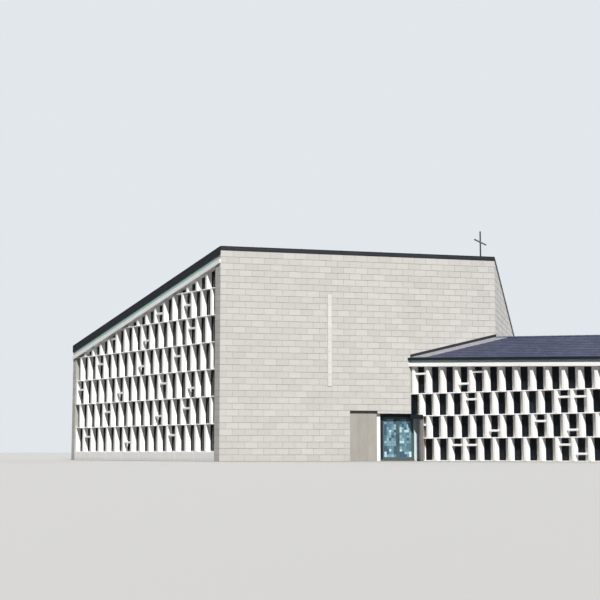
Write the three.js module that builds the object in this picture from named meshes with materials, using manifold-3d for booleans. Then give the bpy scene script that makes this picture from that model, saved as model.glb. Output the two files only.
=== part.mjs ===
// Modern church: a fan-shaped nave under one falling roof plane, with a low lattice-walled wing.
// Millimetres, +Z up. X runs along the nave's front wall, Y runs away from it, z = 0 is ground level.
import * as THREE from 'three';
import { mergeVertices } from 'three/addons/utils/BufferGeometryUtils.js';
import Module from 'manifold-3d';

const wasm = await Module();
wasm.setup();

// Clearance between neighbouring solids, and between a moving leaf and what it passes
const GAP = 0.3;
const DOOR_CLEARANCE = 6;
const MEETING_GAP = 10;

// Overlap of pieces that are fused, reach of cutting tools past what they cut, and size of a weld
const OVERLAP = 10;
const CUT_REACH = 500;
const WELD = 0.001;

// Nave: front wall width and height, depth of the fan, and the angle that its sides open by
const NAVE_WIDTH = 14250;
const NAVE_DEPTH = 12100;
const SIDE_FLARE = THREE.MathUtils.degToRad(28.5);
const WALL_TOP = 10275;
const ROOF_FALL = 0.325;
const MASONRY = 365;
const SIDE_WALL = 300;
const FLOOR = 80;
const ORIGIN_DEPTH = 6000;

// Nave roof: deck inside a raised metal edge
const ROOF_DECK = 135;
const ROOF_EDGE = 175;
const ROOF_EDGE_WIDTH = 150;
const ROOF_OVERHANG = 30;
const ROOF_APRON = 205;

// Raised strip on the front wall
const STRIP = { left: -1745, right: -1535, bottom: 3670, top: 8270, relief: 25 };

// Entrance in the front wall: panel niche, white pier, dark frame, two leaves, jamb and post
const PANEL = { left: -615, right: 795, top: 2485, setback: 100, thickness: 120 };
const PIER_RIGHT = 965;
const FRAME_RIGHT = 1125;
const DOOR_RIGHT = 2725;
const ENTRANCE_RIGHT = 3000;
const DOOR_HEAD = 2210;
const OPENING_TOP = 2350;
const DOOR_SETBACK = 240;
const LEAF_THICKNESS = 50;
const LEAF_STILE = 75;
const LEAF_RAIL = 90;
const LEAF_GLASS = 16;
const DOOR_SILL = 15;
const FRAME_PROUD = 40;
const PIVOT = { radius: 5.5, root: 6, sides: 12 };
const PULL = { inset: 60, width: 36, bottom: 850, top: 1350, standoff: 45, bar: 25, foot: 40, bite: 5 };

// Inner doorway from the nave to the wing
const PASSAGE = { left: 4600, right: 6100 };

// Lattice elements: front strip and back width as shares of the module, and depth behind the face
const STRIP_SHARE = 0.18;
const BACK_LEFT_SHARE = -0.29;
const BACK_RIGHT_SHARE = 0.33;
const LATTICE_DEPTH = 250;
const LATTICE_PLATE = 50;
const BAR_HEIGHT = 100;
const BAR_DEPTH = 110;
const BAR_SETBACK = 30;
const GLASS_THICKNESS = 24;

// Side lattice of the nave: plinth, rows of cells, beam, and top band up to the roof
const SIDE_CELLS = 16;
const SIDE_PITCH = 1330;
const SIDE_BAND = 635;
const SIDE_BEAM = 200;
const SIDE_BEAM_PROUD = 45;
const SIDE_PLINTH = 450;

// Wing: its front leaves the nave wall at WING_START and turns by 45 degrees
const WING_START = 2535;
const WING_TURN = THREE.MathUtils.degToRad(45);
const WING_LENGTH = 12900;
const WING_RIDGE = 3246;
const WING_WALL = 300;
const WING_MODULE = 775;
const WING_PITCH = 1105;
const WING_FIRST_STRIP = 88;
const WING_TOP_ROW = 4715;
const WING_FALL = 0.0365;
const WING_ROOF_SLOPE = 0.385;
const WING_BEAM = 185;
const WING_BEAM_PROUD = 70;
const WING_FASCIA = 140;
const WING_ROOF = 130;
const WING_EAVE_OVERHANG = 110;
const WING_ROWS = 4;
const FLASHING = { width: 560, thickness: 25 };
const APRON = { height: 150, thickness: 35 };
const POST = { left: 520, size: 160 };
const STUB_HALF = 60;
const CORNER_PANE = { setback: 15, thickness: 20, row: 2 };
const ENTRANCE_HEAD = { thickness: 25, bottom: 2100, top: 2300 };

// Roof cross
const CROSS = {
  x: 6990, y: 1500, post: 60, top: 12080, barAt: 11500, bar: 1800, turn: 49, base: 260, plate: 20,
};

const NAVE_HALF = NAVE_WIDTH / 2;
const FLARE = Math.tan(SIDE_FLARE);
const SIDE_LENGTH = NAVE_DEPTH / Math.cos(SIDE_FLARE);
const WING_DEPTH = 2 * WING_RIDGE;

const MATERIALS = {
  masonry: { color: 0xd6d4cd, roughness: 0.9, metalness: 0 },
  concrete: { color: 0xf2f2ef, roughness: 0.75, metalness: 0 },
  roofEdge: { color: 0x14171f, roughness: 0.45, metalness: 0.4 },
  roofing: { color: 0x4b4a5c, roughness: 0.85, metalness: 0 },
  fascia: { color: 0x8fa0a0, roughness: 0.6, metalness: 0.1 },
  flashing: { color: 0x85858a, roughness: 0.55, metalness: 0.5 },
  glazing: { color: 0x10141c, roughness: 0.1, metalness: 0 },
  doorGlass: { color: 0x5f8fa8, roughness: 0.12, metalness: 0 },
  frame: { color: 0x101216, roughness: 0.4, metalness: 0.5 },
  leafFrame: { color: 0x4b6167, roughness: 0.4, metalness: 0.3 },
  panel: { color: 0xb8aea3, roughness: 0.7, metalness: 0 },
  jamb: { color: 0xa3aaa2, roughness: 0.7, metalness: 0 },
  floor: { color: 0x9a9893, roughness: 0.85, metalness: 0 },
  steel: { color: 0x2a2c30, roughness: 0.4, metalness: 0.8 },
};

const constant = (value) => () => value;

// Prism over a plan outline whose foot and top follow functions of x and y
function prism(outline, foot, top) {
  const footAt = typeof foot === 'function' ? foot : constant(foot);
  const topAt = typeof top === 'function' ? top : constant(top);
  const shape = new THREE.Shape(outline.map(([x, y]) => new THREE.Vector2(x, y)));
  const geometry = new THREE.ExtrudeGeometry(shape, { depth: 1, bevelEnabled: false });
  const position = geometry.attributes.position;
  for (let i = 0; i < position.count; i += 1) {
    const x = position.getX(i);
    const y = position.getY(i);
    position.setZ(i, position.getZ(i) > 0.5 ? topAt(x, y) : footAt(x, y));
  }
  return geometry;
}

// Box between two opposite corners
function block(x0, x1, y0, y1, z0, z1) {
  return prism([[x0, y0], [x1, y0], [x1, y1], [x0, y1]], z0, z1);
}

// Extrusion along x of an outline given as y and z
function alongX(outline, x0, x1) {
  const shape = new THREE.Shape(outline.map(([y, z]) => new THREE.Vector2(y, z)));
  const geometry = new THREE.ExtrudeGeometry(shape, { depth: x1 - x0, bevelEnabled: false });
  const frame = new THREE.Matrix4().makeBasis(
    new THREE.Vector3(0, 1, 0),
    new THREE.Vector3(0, 0, 1),
    new THREE.Vector3(1, 0, 0),
  );
  return geometry.applyMatrix4(frame).translate(x0, 0, 0);
}

// Lets a straight piece of the wing fall evenly along its length
function falling(geometry) {
  const shear = new THREE.Matrix4().set(
    1, 0, 0, 0,
    0, 1, 0, 0,
    -WING_FALL, 0, 1, 0,
    0, 0, 0, 1,
  );
  return geometry.applyMatrix4(shear);
}

function toSolid(geometry) {
  const bare = geometry.clone();
  bare.deleteAttribute('normal');
  bare.deleteAttribute('uv');
  const merged = mergeVertices(bare, WELD);
  return new wasm.Manifold(new wasm.Mesh({
    numProp: 3,
    vertProperties: new Float32Array(merged.attributes.position.array),
    triVerts: new Uint32Array(merged.index.array),
  }));
}

function toGeometry(solid) {
  const mesh = solid.getMesh();
  const geometry = new THREE.BufferGeometry();
  geometry.setAttribute('position', new THREE.BufferAttribute(mesh.vertProperties, 3));
  geometry.setIndex(new THREE.BufferAttribute(mesh.triVerts, 1));
  geometry.computeVertexNormals();
  return geometry;
}

function fuse(geometries) {
  return geometries.map(toSolid).reduce((body, piece) => body.add(piece));
}

function cut(body, geometries) {
  return geometries.map(toSolid).reduce((rest, tool) => rest.subtract(tool), body);
}

const church = new THREE.Group();
church.position.set(0, -ORIGIN_DEPTH, 0);

function place(group, name, geometry, finish) {
  const mesh = new THREE.Mesh(geometry, new THREE.MeshStandardMaterial(MATERIALS[finish]));
  mesh.name = name;
  group.add(mesh);
  return mesh;
}

// Heights of the nave's roof, over plan positions measured from the front wall
const roofUnder = (x, y) => WALL_TOP - ROOF_FALL * y;
const underRoof = (x, y) => roofUnder(x, y) - GAP;
const halfWidthAt = (y) => NAVE_HALF + FLARE * y;

function addNaveWalls() {
  const back = NAVE_DEPTH;
  const inner = MASONRY;
  const leftEnd = [
    [-halfWidthAt(0), 0],
    [PANEL.left - GAP, 0],
    [PANEL.left - GAP, inner],
    [-halfWidthAt(inner), inner],
  ];
  place(church, 'front_wall_left', prism(leftEnd, 0, underRoof), 'masonry');

  const rightEnd = [
    [PASSAGE.right + GAP, 0],
    [halfWidthAt(0), 0],
    [halfWidthAt(inner), inner],
    [PASSAGE.right + GAP, inner],
  ];
  place(church, 'front_wall_right', prism(rightEnd, 0, underRoof), 'masonry');

  const over = [[PANEL.left, 0], [PASSAGE.right, 0], [PASSAGE.right, inner], [PANEL.left, inner]];
  const niche = block(PANEL.left - inner, PANEL.right, -inner, 2 * inner, 0, PANEL.top);
  const upper = cut(toSolid(prism(over, OPENING_TOP, underRoof)), [niche]);
  place(church, 'front_wall_over_entrance', toGeometry(upper), 'masonry');

  place(
    church,
    'front_wall_inner_pier',
    block(ENTRANCE_RIGHT, PASSAGE.left, 0, inner, 0, OPENING_TOP - GAP),
    'masonry',
  );

  const sideStart = inner + GAP;
  const sideEnd = back - SIDE_WALL - GAP;
  const across = SIDE_WALL / Math.cos(SIDE_FLARE);
  const right = [
    [halfWidthAt(sideStart), sideStart],
    [halfWidthAt(sideEnd), sideEnd],
    [halfWidthAt(sideEnd) - across, sideEnd],
    [halfWidthAt(sideStart) - across, sideStart],
  ];
  place(church, 'right_wall', prism(right, 0, underRoof), 'masonry');

  const rear = [
    [-halfWidthAt(back - SIDE_WALL), back - SIDE_WALL],
    [halfWidthAt(back - SIDE_WALL), back - SIDE_WALL],
    [halfWidthAt(back), back],
    [-halfWidthAt(back), back],
  ];
  place(church, 'back_wall', prism(rear, 0, underRoof), 'masonry');

  place(
    church,
    'wall_strip',
    block(STRIP.left, STRIP.right, -STRIP.relief, -GAP, STRIP.bottom, STRIP.top),
    'masonry',
  );
}

// Floor inside the walls, with tongues through the entrance and the inner doorway
function addNaveFloor() {
  const across = (SIDE_WALL + GAP) / Math.cos(SIDE_FLARE);
  const front = MASONRY + GAP;
  const back = NAVE_DEPTH - SIDE_WALL - GAP;
  const outline = [
    [-halfWidthAt(front) + across, front],
    [PIER_RIGHT + GAP, front],
    [PIER_RIGHT + GAP, 0],
    [DOOR_RIGHT - GAP, 0],
    [DOOR_RIGHT - GAP, front],
    [PASSAGE.left + GAP, front],
    [PASSAGE.left + GAP, 0],
    [PASSAGE.right - GAP, 0],
    [PASSAGE.right - GAP, front],
    [halfWidthAt(front) - across, front],
    [halfWidthAt(back) - across, back],
    [-halfWidthAt(back) + across, back],
  ];
  place(church, 'nave_floor', prism(outline, 0, FLOOR), 'floor');
}

function addNaveRoof() {
  const ring = (inset) => {
    const front = -ROOF_OVERHANG + inset;
    const back = NAVE_DEPTH + ROOF_OVERHANG - inset;
    const side = (ROOF_OVERHANG - inset) / Math.cos(SIDE_FLARE);
    return [
      [-halfWidthAt(front) - side, front],
      [halfWidthAt(front) + side, front],
      [halfWidthAt(back) + side, back],
      [-halfWidthAt(back) - side, back],
    ];
  };
  const deckTop = (x, y) => roofUnder(x, y) + ROOF_DECK;
  const edgeTop = (x, y) => roofUnder(x, y) + ROOF_EDGE;
  place(church, 'nave_roof_deck', prism(ring(ROOF_EDGE_WIDTH + GAP), roofUnder, deckTop), 'roofing');

  const outer = ring(0);
  const inner = ring(ROOF_EDGE_WIDTH);
  const names = ['roof_edge_front', 'roof_edge_right', 'roof_edge_back', 'roof_edge_left'];
  names.forEach((name, side) => {
    const next = (side + 1) % names.length;
    const ends = [outer[side], outer[next], inner[next], inner[side]].map((p) => new THREE.Vector2(...p));
    const along = ends[1].clone().sub(ends[0]).normalize().multiplyScalar(GAP);
    const outline = [
      ends[0].clone().add(along),
      ends[1].clone().sub(along),
      ends[2].clone().sub(along),
      ends[3].clone().add(along),
    ].map((p) => [p.x, p.y]);
    const pieces = [prism(outline, roofUnder, edgeTop)];
    if (name === 'roof_edge_left') {
      const wallFace = ring(ROOF_OVERHANG - GAP);
      const apron = [outline[0], outline[1], wallFace[next], wallFace[side]];
      pieces.push(prism(apron, (x, y) => roofUnder(x, y) - ROOF_APRON, (x, y) => roofUnder(x, y) + OVERLAP));
    }
    place(church, name, toGeometry(fuse(pieces)), 'roofEdge');
  });
}

// Splayed upright of a lattice wall, whose front strip starts at x = start
function upright(start, module, foot, top) {
  const outline = [
    [start, 0],
    [start + STRIP_SHARE * module, 0],
    [start + BACK_RIGHT_SHARE * module, LATTICE_DEPTH],
    [start + BACK_LEFT_SHARE * module, LATTICE_DEPTH],
  ];
  return prism(outline, foot, top);
}

// One row of a lattice wall: a plate carries splayed uprights, and short bars cross some cells.
// Each bar is given as the number of its cell and its height as a share of the opening.
function latticeRow({ from, to, first, module, foot, top, bars }) {
  const pieces = [block(from, to, 0, LATTICE_DEPTH, foot, foot + LATTICE_PLATE)];
  const before = Math.floor((first - from) / module + BACK_RIGHT_SHARE);
  const end = to - BACK_LEFT_SHARE * module;
  for (let start = first - before * module; start < end; start += module) {
    pieces.push(upright(start, module, foot + LATTICE_PLATE / 2, top));
  }
  bars.forEach(([cell, level]) => {
    const start = first + cell * module + (STRIP_SHARE * module) / 2;
    const height = foot + LATTICE_PLATE + level * (top - foot - LATTICE_PLATE);
    const low = height - BAR_HEIGHT / 2;
    const back = BAR_SETBACK + BAR_DEPTH;
    pieces.push(block(start, start + module, BAR_SETBACK, back, low, low + BAR_HEIGHT));
  });
  const ends = [[from - module, from], [to, to + module]];
  return cut(fuse(pieces), ends.map(([x0, x1]) => (
    block(x0, x1, -OVERLAP, LATTICE_DEPTH + OVERLAP, foot - OVERLAP, top + OVERLAP)
  )));
}

// Left side of the nave: plinth, lattice under a falling band, and glass behind it.
// Its own frame has x along the wall from the back corner and y into the nave.
function addNaveLattice() {
  const side = new THREE.Group();
  side.position.set(-halfWidthAt(NAVE_DEPTH), NAVE_DEPTH, 0);
  side.rotation.z = SIDE_FLARE - Math.PI / 2;
  church.add(side);

  const rise = ROOF_FALL * Math.cos(SIDE_FLARE);
  const lean = ROOF_FALL * Math.sin(SIDE_FLARE);
  const roofHere = (x, y) => WALL_TOP - ROOF_FALL * NAVE_DEPTH + rise * x - lean * y;
  const bandFoot = (x, y) => roofHere(x, y) - SIDE_BAND;

  const backLine = (y) => (SIDE_WALL + 2 * GAP) / Math.cos(SIDE_FLARE) + FLARE * y;
  const frontLine = (y) => SIDE_LENGTH - (MASONRY + 2 * GAP) / Math.cos(SIDE_FLARE) + FLARE * y;
  const between = (y0, y1) => [
    [backLine(y0), y0],
    [frontLine(y0), y0],
    [frontLine(y1), y1],
    [backLine(y1), y1],
  ];

  place(side, 'left_wall_plinth', prism(between(0, SIDE_WALL), 0, SIDE_PLINTH - GAP), 'concrete');
  const beamTop = (x, y) => bandFoot(x, y) + SIDE_BEAM;
  const band = prism(between(0, SIDE_WALL), beamTop, (x, y) => roofHere(x, y) - GAP);
  place(side, 'left_wall_top_band', band, 'fascia');
  const outer = -SIDE_BEAM_PROUD;
  const beam = [
    [FLARE * outer, outer],
    [SIDE_LENGTH + FLARE * outer, outer],
    [SIDE_LENGTH - FLARE * GAP, -GAP],
    [frontLine(-GAP), -GAP],
    [frontLine(SIDE_WALL), SIDE_WALL],
    [backLine(SIDE_WALL), SIDE_WALL],
    [backLine(-GAP), -GAP],
    [-FLARE * GAP, -GAP],
  ];
  place(side, 'left_wall_beam', prism(beam, bandFoot, (x, y) => beamTop(x, y) - GAP), 'concrete');
  const glassFront = LATTICE_DEPTH + GAP;
  const pane = between(glassFront, glassFront + GLASS_THICKNESS);
  place(side, 'left_wall_glass', prism(pane, SIDE_PLINTH, (x, y) => bandFoot(x, y) - GAP), 'glazing');

  const module = (frontLine(0) - backLine(0)) / SIDE_CELLS;
  const y0 = -CUT_REACH;
  const y1 = LATTICE_DEPTH + CUT_REACH;
  const left = -CUT_REACH;
  const right = SIDE_LENGTH + CUT_REACH;
  const whole = [[left, y0], [right, y0], [right, y1], [left, y1]];
  const beyond = [
    prism([[left, y0], [backLine(y0), y0], [backLine(y1), y1], [left, y1]], 0, WALL_TOP),
    prism([[frontLine(y0), y0], [right, y0], [right, y1], [frontLine(y1), y1]], 0, WALL_TOP),
    prism(whole, (x, y) => bandFoot(x, y) - GAP, 2 * WALL_TOP),
  ];
  const bars = [
    [[2, 0.62], [7, 0.36], [12, 0.62]],
    [[4, 0.62], [10, 0.36], [13, 0.62]],
    [[1, 0.62], [6, 0.36], [11, 0.62], [14, 0.36]],
    [[3, 0.62], [8, 0.36], [12, 0.62]],
    [[5, 0.62], [9, 0.36], [14, 0.62]],
    [[10, 0.36], [13, 0.52]],
    [[14, 0.45]],
  ];
  const rows = bars.map((rowBars, row) => {
    const foot = SIDE_PLINTH + row * SIDE_PITCH;
    const under = (foot + LATTICE_PLATE - bandFoot(0, LATTICE_DEPTH)) / rise;
    return latticeRow({
      from: Math.max(0, under),
      to: SIDE_LENGTH,
      first: frontLine(0) - module * (SIDE_CELLS + 1 - (row % 2) / 2),
      module,
      foot,
      top: foot + SIDE_PITCH + LATTICE_PLATE / 2,
      bars: rowBars,
    });
  });
  const lattice = rows.reduce((body, row) => body.add(row));
  place(side, 'left_wall_lattice', toGeometry(cut(lattice, beyond)), 'concrete');
}

// The leaves turn about their inner outside edges
const HINGE_Y = DOOR_SETBACK + LEAF_THICKNESS;
const LEAF_BOTTOM = FLOOR + DOOR_SILL + DOOR_CLEARANCE;
const LEAF_TOP = DOOR_HEAD - DOOR_CLEARANCE;
const LEAF_LEFT = FRAME_RIGHT + DOOR_CLEARANCE;
const LEAF_RIGHT = DOOR_RIGHT - DOOR_CLEARANCE;
const LEAF_MEET = (LEAF_LEFT + LEAF_RIGHT) / 2;

// Short pin on a leaf's axis, above or below the leaf
function pivot(x, z0, z1) {
  const pin = new THREE.CylinderGeometry(PIVOT.radius, PIVOT.radius, z1 - z0, PIVOT.sides);
  return pin.rotateX(Math.PI / 2).translate(x, HINGE_Y, (z0 + z1) / 2);
}

// Entrance set into the front wall: fixed pieces around the two leaves
function addEntrance() {
  const niche = PANEL.setback;
  place(
    church,
    'entrance_panel',
    block(PANEL.left, PANEL.right - GAP, niche, niche + PANEL.thickness, 0, PANEL.top - GAP),
    'panel',
  );
  place(
    church,
    'entrance_white_pier',
    block(PANEL.right, PIER_RIGHT, niche, MASONRY, 0, OPENING_TOP - GAP),
    'concrete',
  );
  place(
    church,
    'panel_backing_wall',
    block(PANEL.left, PANEL.right - GAP, niche + PANEL.thickness + GAP, MASONRY, 0, PANEL.top - GAP),
    'masonry',
  );
  const front = DOOR_SETBACK - FRAME_PROUD;
  const right = ENTRANCE_RIGHT - GAP;
  const sillTop = FLOOR + DOOR_SILL;
  const beyond = 2 * MASONRY;
  const pivots = [LEAF_LEFT, LEAF_RIGHT].flatMap((x) => [
    pivot(x, sillTop - PIVOT.root, LEAF_BOTTOM - GAP),
    pivot(x, LEAF_TOP + GAP, DOOR_HEAD + PIVOT.root),
  ]);
  const border = block(PIER_RIGHT + GAP, right, front, MASONRY, FLOOR + GAP, OPENING_TOP - GAP);
  const frame = cut(toSolid(border), [
    block(FRAME_RIGHT, DOOR_RIGHT + beyond, front - beyond, beyond, sillTop, DOOR_HEAD),
    block(DOOR_RIGHT - GAP, DOOR_RIGHT + beyond, front - beyond, beyond, 0, DOOR_HEAD),
  ]);
  const hung = pivots.map(toSolid).reduce((body, pin) => body.add(pin), frame);
  place(church, 'door_frame', toGeometry(hung), 'frame');
  place(
    church,
    'entrance_jamb',
    block(DOOR_RIGHT, right, niche, MASONRY, 0, DOOR_HEAD - GAP),
    'jamb',
  );
}

// One glazed leaf, from its hinge edge to its meeting edge
function addLeaf(side, x0, x1) {
  const border = block(x0, x1, DOOR_SETBACK, HINGE_Y, LEAF_BOTTOM, LEAF_TOP);
  const [left, right] = [x0 + LEAF_STILE, x1 - LEAF_STILE];
  const [low, high] = [LEAF_BOTTOM + LEAF_RAIL, LEAF_TOP - LEAF_RAIL];
  const hole = block(left, right, DOOR_SETBACK - OVERLAP, HINGE_Y + OVERLAP, low, high);

  const pullLeft = side === 'left' ? x1 - PULL.inset : x0 + PULL.inset - PULL.width;
  const pullRight = pullLeft + PULL.width;
  const barFront = DOOR_SETBACK - PULL.standoff;
  const barBack = barFront + PULL.bar;
  const footFront = barBack - PULL.bite;
  const footBack = DOOR_SETBACK + PULL.bite;
  const pull = [
    block(pullLeft, pullRight, barFront, barBack, PULL.bottom, PULL.top),
    block(pullLeft, pullRight, footFront, footBack, PULL.bottom, PULL.bottom + PULL.foot),
    block(pullLeft, pullRight, footFront, footBack, PULL.top - PULL.foot, PULL.top),
  ];
  const leaf = cut(toSolid(border), [hole]);
  const dressed = pull.map(toSolid).reduce((body, piece) => body.add(piece), leaf);
  place(church, `door_${side}_frame`, toGeometry(dressed), 'leafFrame');
  const paneFront = (DOOR_SETBACK + HINGE_Y - LEAF_GLASS) / 2;
  const paneBack = paneFront + LEAF_GLASS;
  const pane = block(left + GAP, right - GAP, paneFront, paneBack, low + GAP, high - GAP);
  place(church, `door_${side}_glass`, pane, 'doorGlass');
}

function addDoors() {
  addLeaf('left', LEAF_LEFT, LEAF_MEET - MEETING_GAP / 2);
  addLeaf('right', LEAF_MEET + MEETING_GAP / 2, LEAF_RIGHT);
}

// The wing stands in its own frame: x along its front from the nave, y towards its back
const wing = new THREE.Group();
wing.position.set(WING_START, 0, 0);
wing.rotation.z = -WING_TURN;
church.add(wing);

const wingBandFoot = (x) => WING_TOP_ROW - WING_FALL * x;
const wingEaveUnder = WING_TOP_ROW + WING_BEAM + WING_FASCIA;
const postRight = POST.left + POST.size;

// The short wall behind the post ends where the sum of the wing's x and y comes to this
const STUB_SUM = postRight + (STUB_HALF + 3 * GAP) * Math.SQRT2;

// Distance along the wing at which the nave's right wall crosses the line at depth y
const backMeet = (y) => (y * (FLARE - 1) + (NAVE_HALF - WING_START) * Math.SQRT2) / (1 + FLARE);

// Heights and bars of the wing's rows, from the ground up, for its front and for its back
const FRONT_BARS = [
  [[2, 0.7], [3, 0.7], [9, 0.7], [10, 0.3], [13, 0.7]],
  [[0, 0.6], [5, 0.3], [8, 0.7], [10, 0.3], [14, 0.3]],
  [[3, 0.7], [9, 0.7], [10, 0.7], [14, 0.3]],
  [[0, 0.72], [3, 0.3], [4, 0.72], [13, 0.3]],
];
const BACK_BARS = [
  [[2, 0.7], [7, 0.3]],
  [[4, 0.3], [10, 0.7]],
  [[1, 0.7], [8, 0.7]],
  [[5, 0.72], [11, 0.3]],
];

// Everything above a plane that falls along the wing, as a tool for cutting
function aboveBand(footAt) {
  const right = WING_LENGTH + CUT_REACH;
  const plan = [[-CUT_REACH, -CUT_REACH], [right, -CUT_REACH], [right, CUT_REACH], [-CUT_REACH, CUT_REACH]];
  return prism(plan, (x) => footAt(x) - GAP, 2 * WING_TOP_ROW);
}

function addWingFront() {
  const reach = CUT_REACH;
  const high = 2 * WING_TOP_ROW;
  const low = -OVERLAP;
  const besideNave = (offset, z0, z1) => {
    const across = 2 * GAP + offset;
    return prism([[-reach, -reach - across], [reach, reach - across], [-reach, reach]], z0, z1);
  };
  const nave = besideNave(0, low, high);
  const paneAcross = CORNER_PANE.thickness * Math.SQRT2;
  const post = block(-reach, postRight + GAP, -reach, reach, low, 2 * WING_PITCH);
  const underBand = aboveBand(wingBandFoot);
  const last = WING_LENGTH - WING_WALL - GAP;
  const soffitFront = LATTICE_DEPTH - OVERLAP;
  const soffitSum = STUB_SUM - 3 * GAP;
  const corner = [
    [soffitFront, soffitFront],
    [soffitSum - soffitFront, soffitFront],
    [soffitSum / 2, soffitSum / 2],
  ];

  FRONT_BARS.forEach((bars, row) => {
    const foot = row * WING_PITCH;
    const topRow = row === WING_ROWS - 1;
    let body = latticeRow({
      from: -WING_FIRST_STRIP,
      to: last,
      first: WING_FIRST_STRIP + (row % 2 ? 0 : WING_MODULE / 2),
      module: WING_MODULE,
      foot,
      top: topRow ? WING_TOP_ROW : foot + WING_PITCH - GAP,
      bars,
    });
    if (row === 2) {
      body = body.add(toSolid(prism(corner, foot, foot + LATTICE_PLATE)));
    }
    const tools = row < 2 ? [nave, post] : [nave, underBand];
    if (row === CORNER_PANE.row) {
      tools.push(besideNave(paneAcross + 2 * GAP, foot + LATTICE_PLATE, foot + 2 * WING_PITCH));
    }
    place(wing, `wing_front_row_${row + 1}`, toGeometry(cut(body, tools)), 'concrete');
  });

  const glassFront = LATTICE_DEPTH + GAP;
  const pane = block(glassFront, last, glassFront, glassFront + GLASS_THICKNESS, 0, WING_TOP_ROW);
  const overDoor = 2 * WING_PITCH + LATTICE_PLATE + GAP;
  const cornerPlan = [[-reach, -reach], [STUB_SUM + reach, -reach], [-reach, STUB_SUM + reach]];
  const paneBody = cut(toSolid(pane), [nave, prism(cornerPlan, low, overDoor), underBand]);

  // Dark pane on the nave's wall, in the row over the entrance
  const y0 = CORNER_PANE.setback;
  const y1 = glassFront + GLASS_THICKNESS / 2;
  const cornerPane = prism(
    [
      [frontMeet(y0), y0], [frontMeet(y0) + paneAcross, y0],
      [frontMeet(y1) + paneAcross, y1], [frontMeet(y1), y1],
    ],
    overDoor,
    (CORNER_PANE.row + 1) * WING_PITCH - GAP,
  );
  place(wing, 'wing_front_glass', toGeometry(paneBody.add(toSolid(cornerPane))), 'glazing');
}

// The back repeats the front. Its own frame has x from the end wall and y into the wing.
function addWingBack() {
  const back = new THREE.Group();
  back.position.set(WING_LENGTH, WING_DEPTH, 0);
  back.rotation.z = Math.PI;
  wing.add(back);

  const meet = (y) => WING_LENGTH - backMeet(WING_DEPTH - y) - 2 * GAP;
  const y0 = -CUT_REACH;
  const y1 = CUT_REACH;
  const right = WING_LENGTH + CUT_REACH;
  const navePlan = [[meet(y0), y0], [right, y0], [right, y1], [meet(y1), y1]];
  const nave = prism(navePlan, -OVERLAP, 2 * WING_TOP_ROW);
  const underBand = aboveBand((x) => wingBandFoot(WING_LENGTH - x));
  const rows = BACK_BARS.map((bars, row) => latticeRow({
    from: WING_WALL + GAP,
    to: meet(0) + WING_FIRST_STRIP,
    first: WING_WALL + WING_FIRST_STRIP + (row % 2 ? 0 : WING_MODULE / 2),
    module: WING_MODULE,
    foot: row * WING_PITCH,
    top: row === WING_ROWS - 1 ? WING_TOP_ROW : (row + 1) * WING_PITCH + LATTICE_PLATE / 2,
    bars,
  }));
  const lattice = rows.reduce((body, row) => body.add(row));
  place(back, 'wing_back_lattice', toGeometry(cut(lattice, [nave, underBand])), 'concrete');
  const glassFront = LATTICE_DEPTH + GAP;
  const glassBack = glassFront + GLASS_THICKNESS;
  const pane = block(WING_WALL + GAP, WING_LENGTH, glassFront, glassBack, 0, WING_TOP_ROW);
  place(back, 'wing_back_glass', toGeometry(cut(toSolid(pane), [nave, underBand])), 'glazing');
}

// Underside of the wing's front roof slope, and of its back slope
const wingUnder = (x, y) => wingEaveUnder - WING_FALL * x + WING_ROOF_SLOPE * y;
const wingUnderBack = (x, y) => wingUnder(x, WING_DEPTH - y);

// Where the wing's pieces stop at depth y: at the nave's front wall, or at its right wall
const frontMeet = (y) => y + 2 * GAP;
const sideMeet = (y) => backMeet(y) + 2 * GAP;

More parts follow.
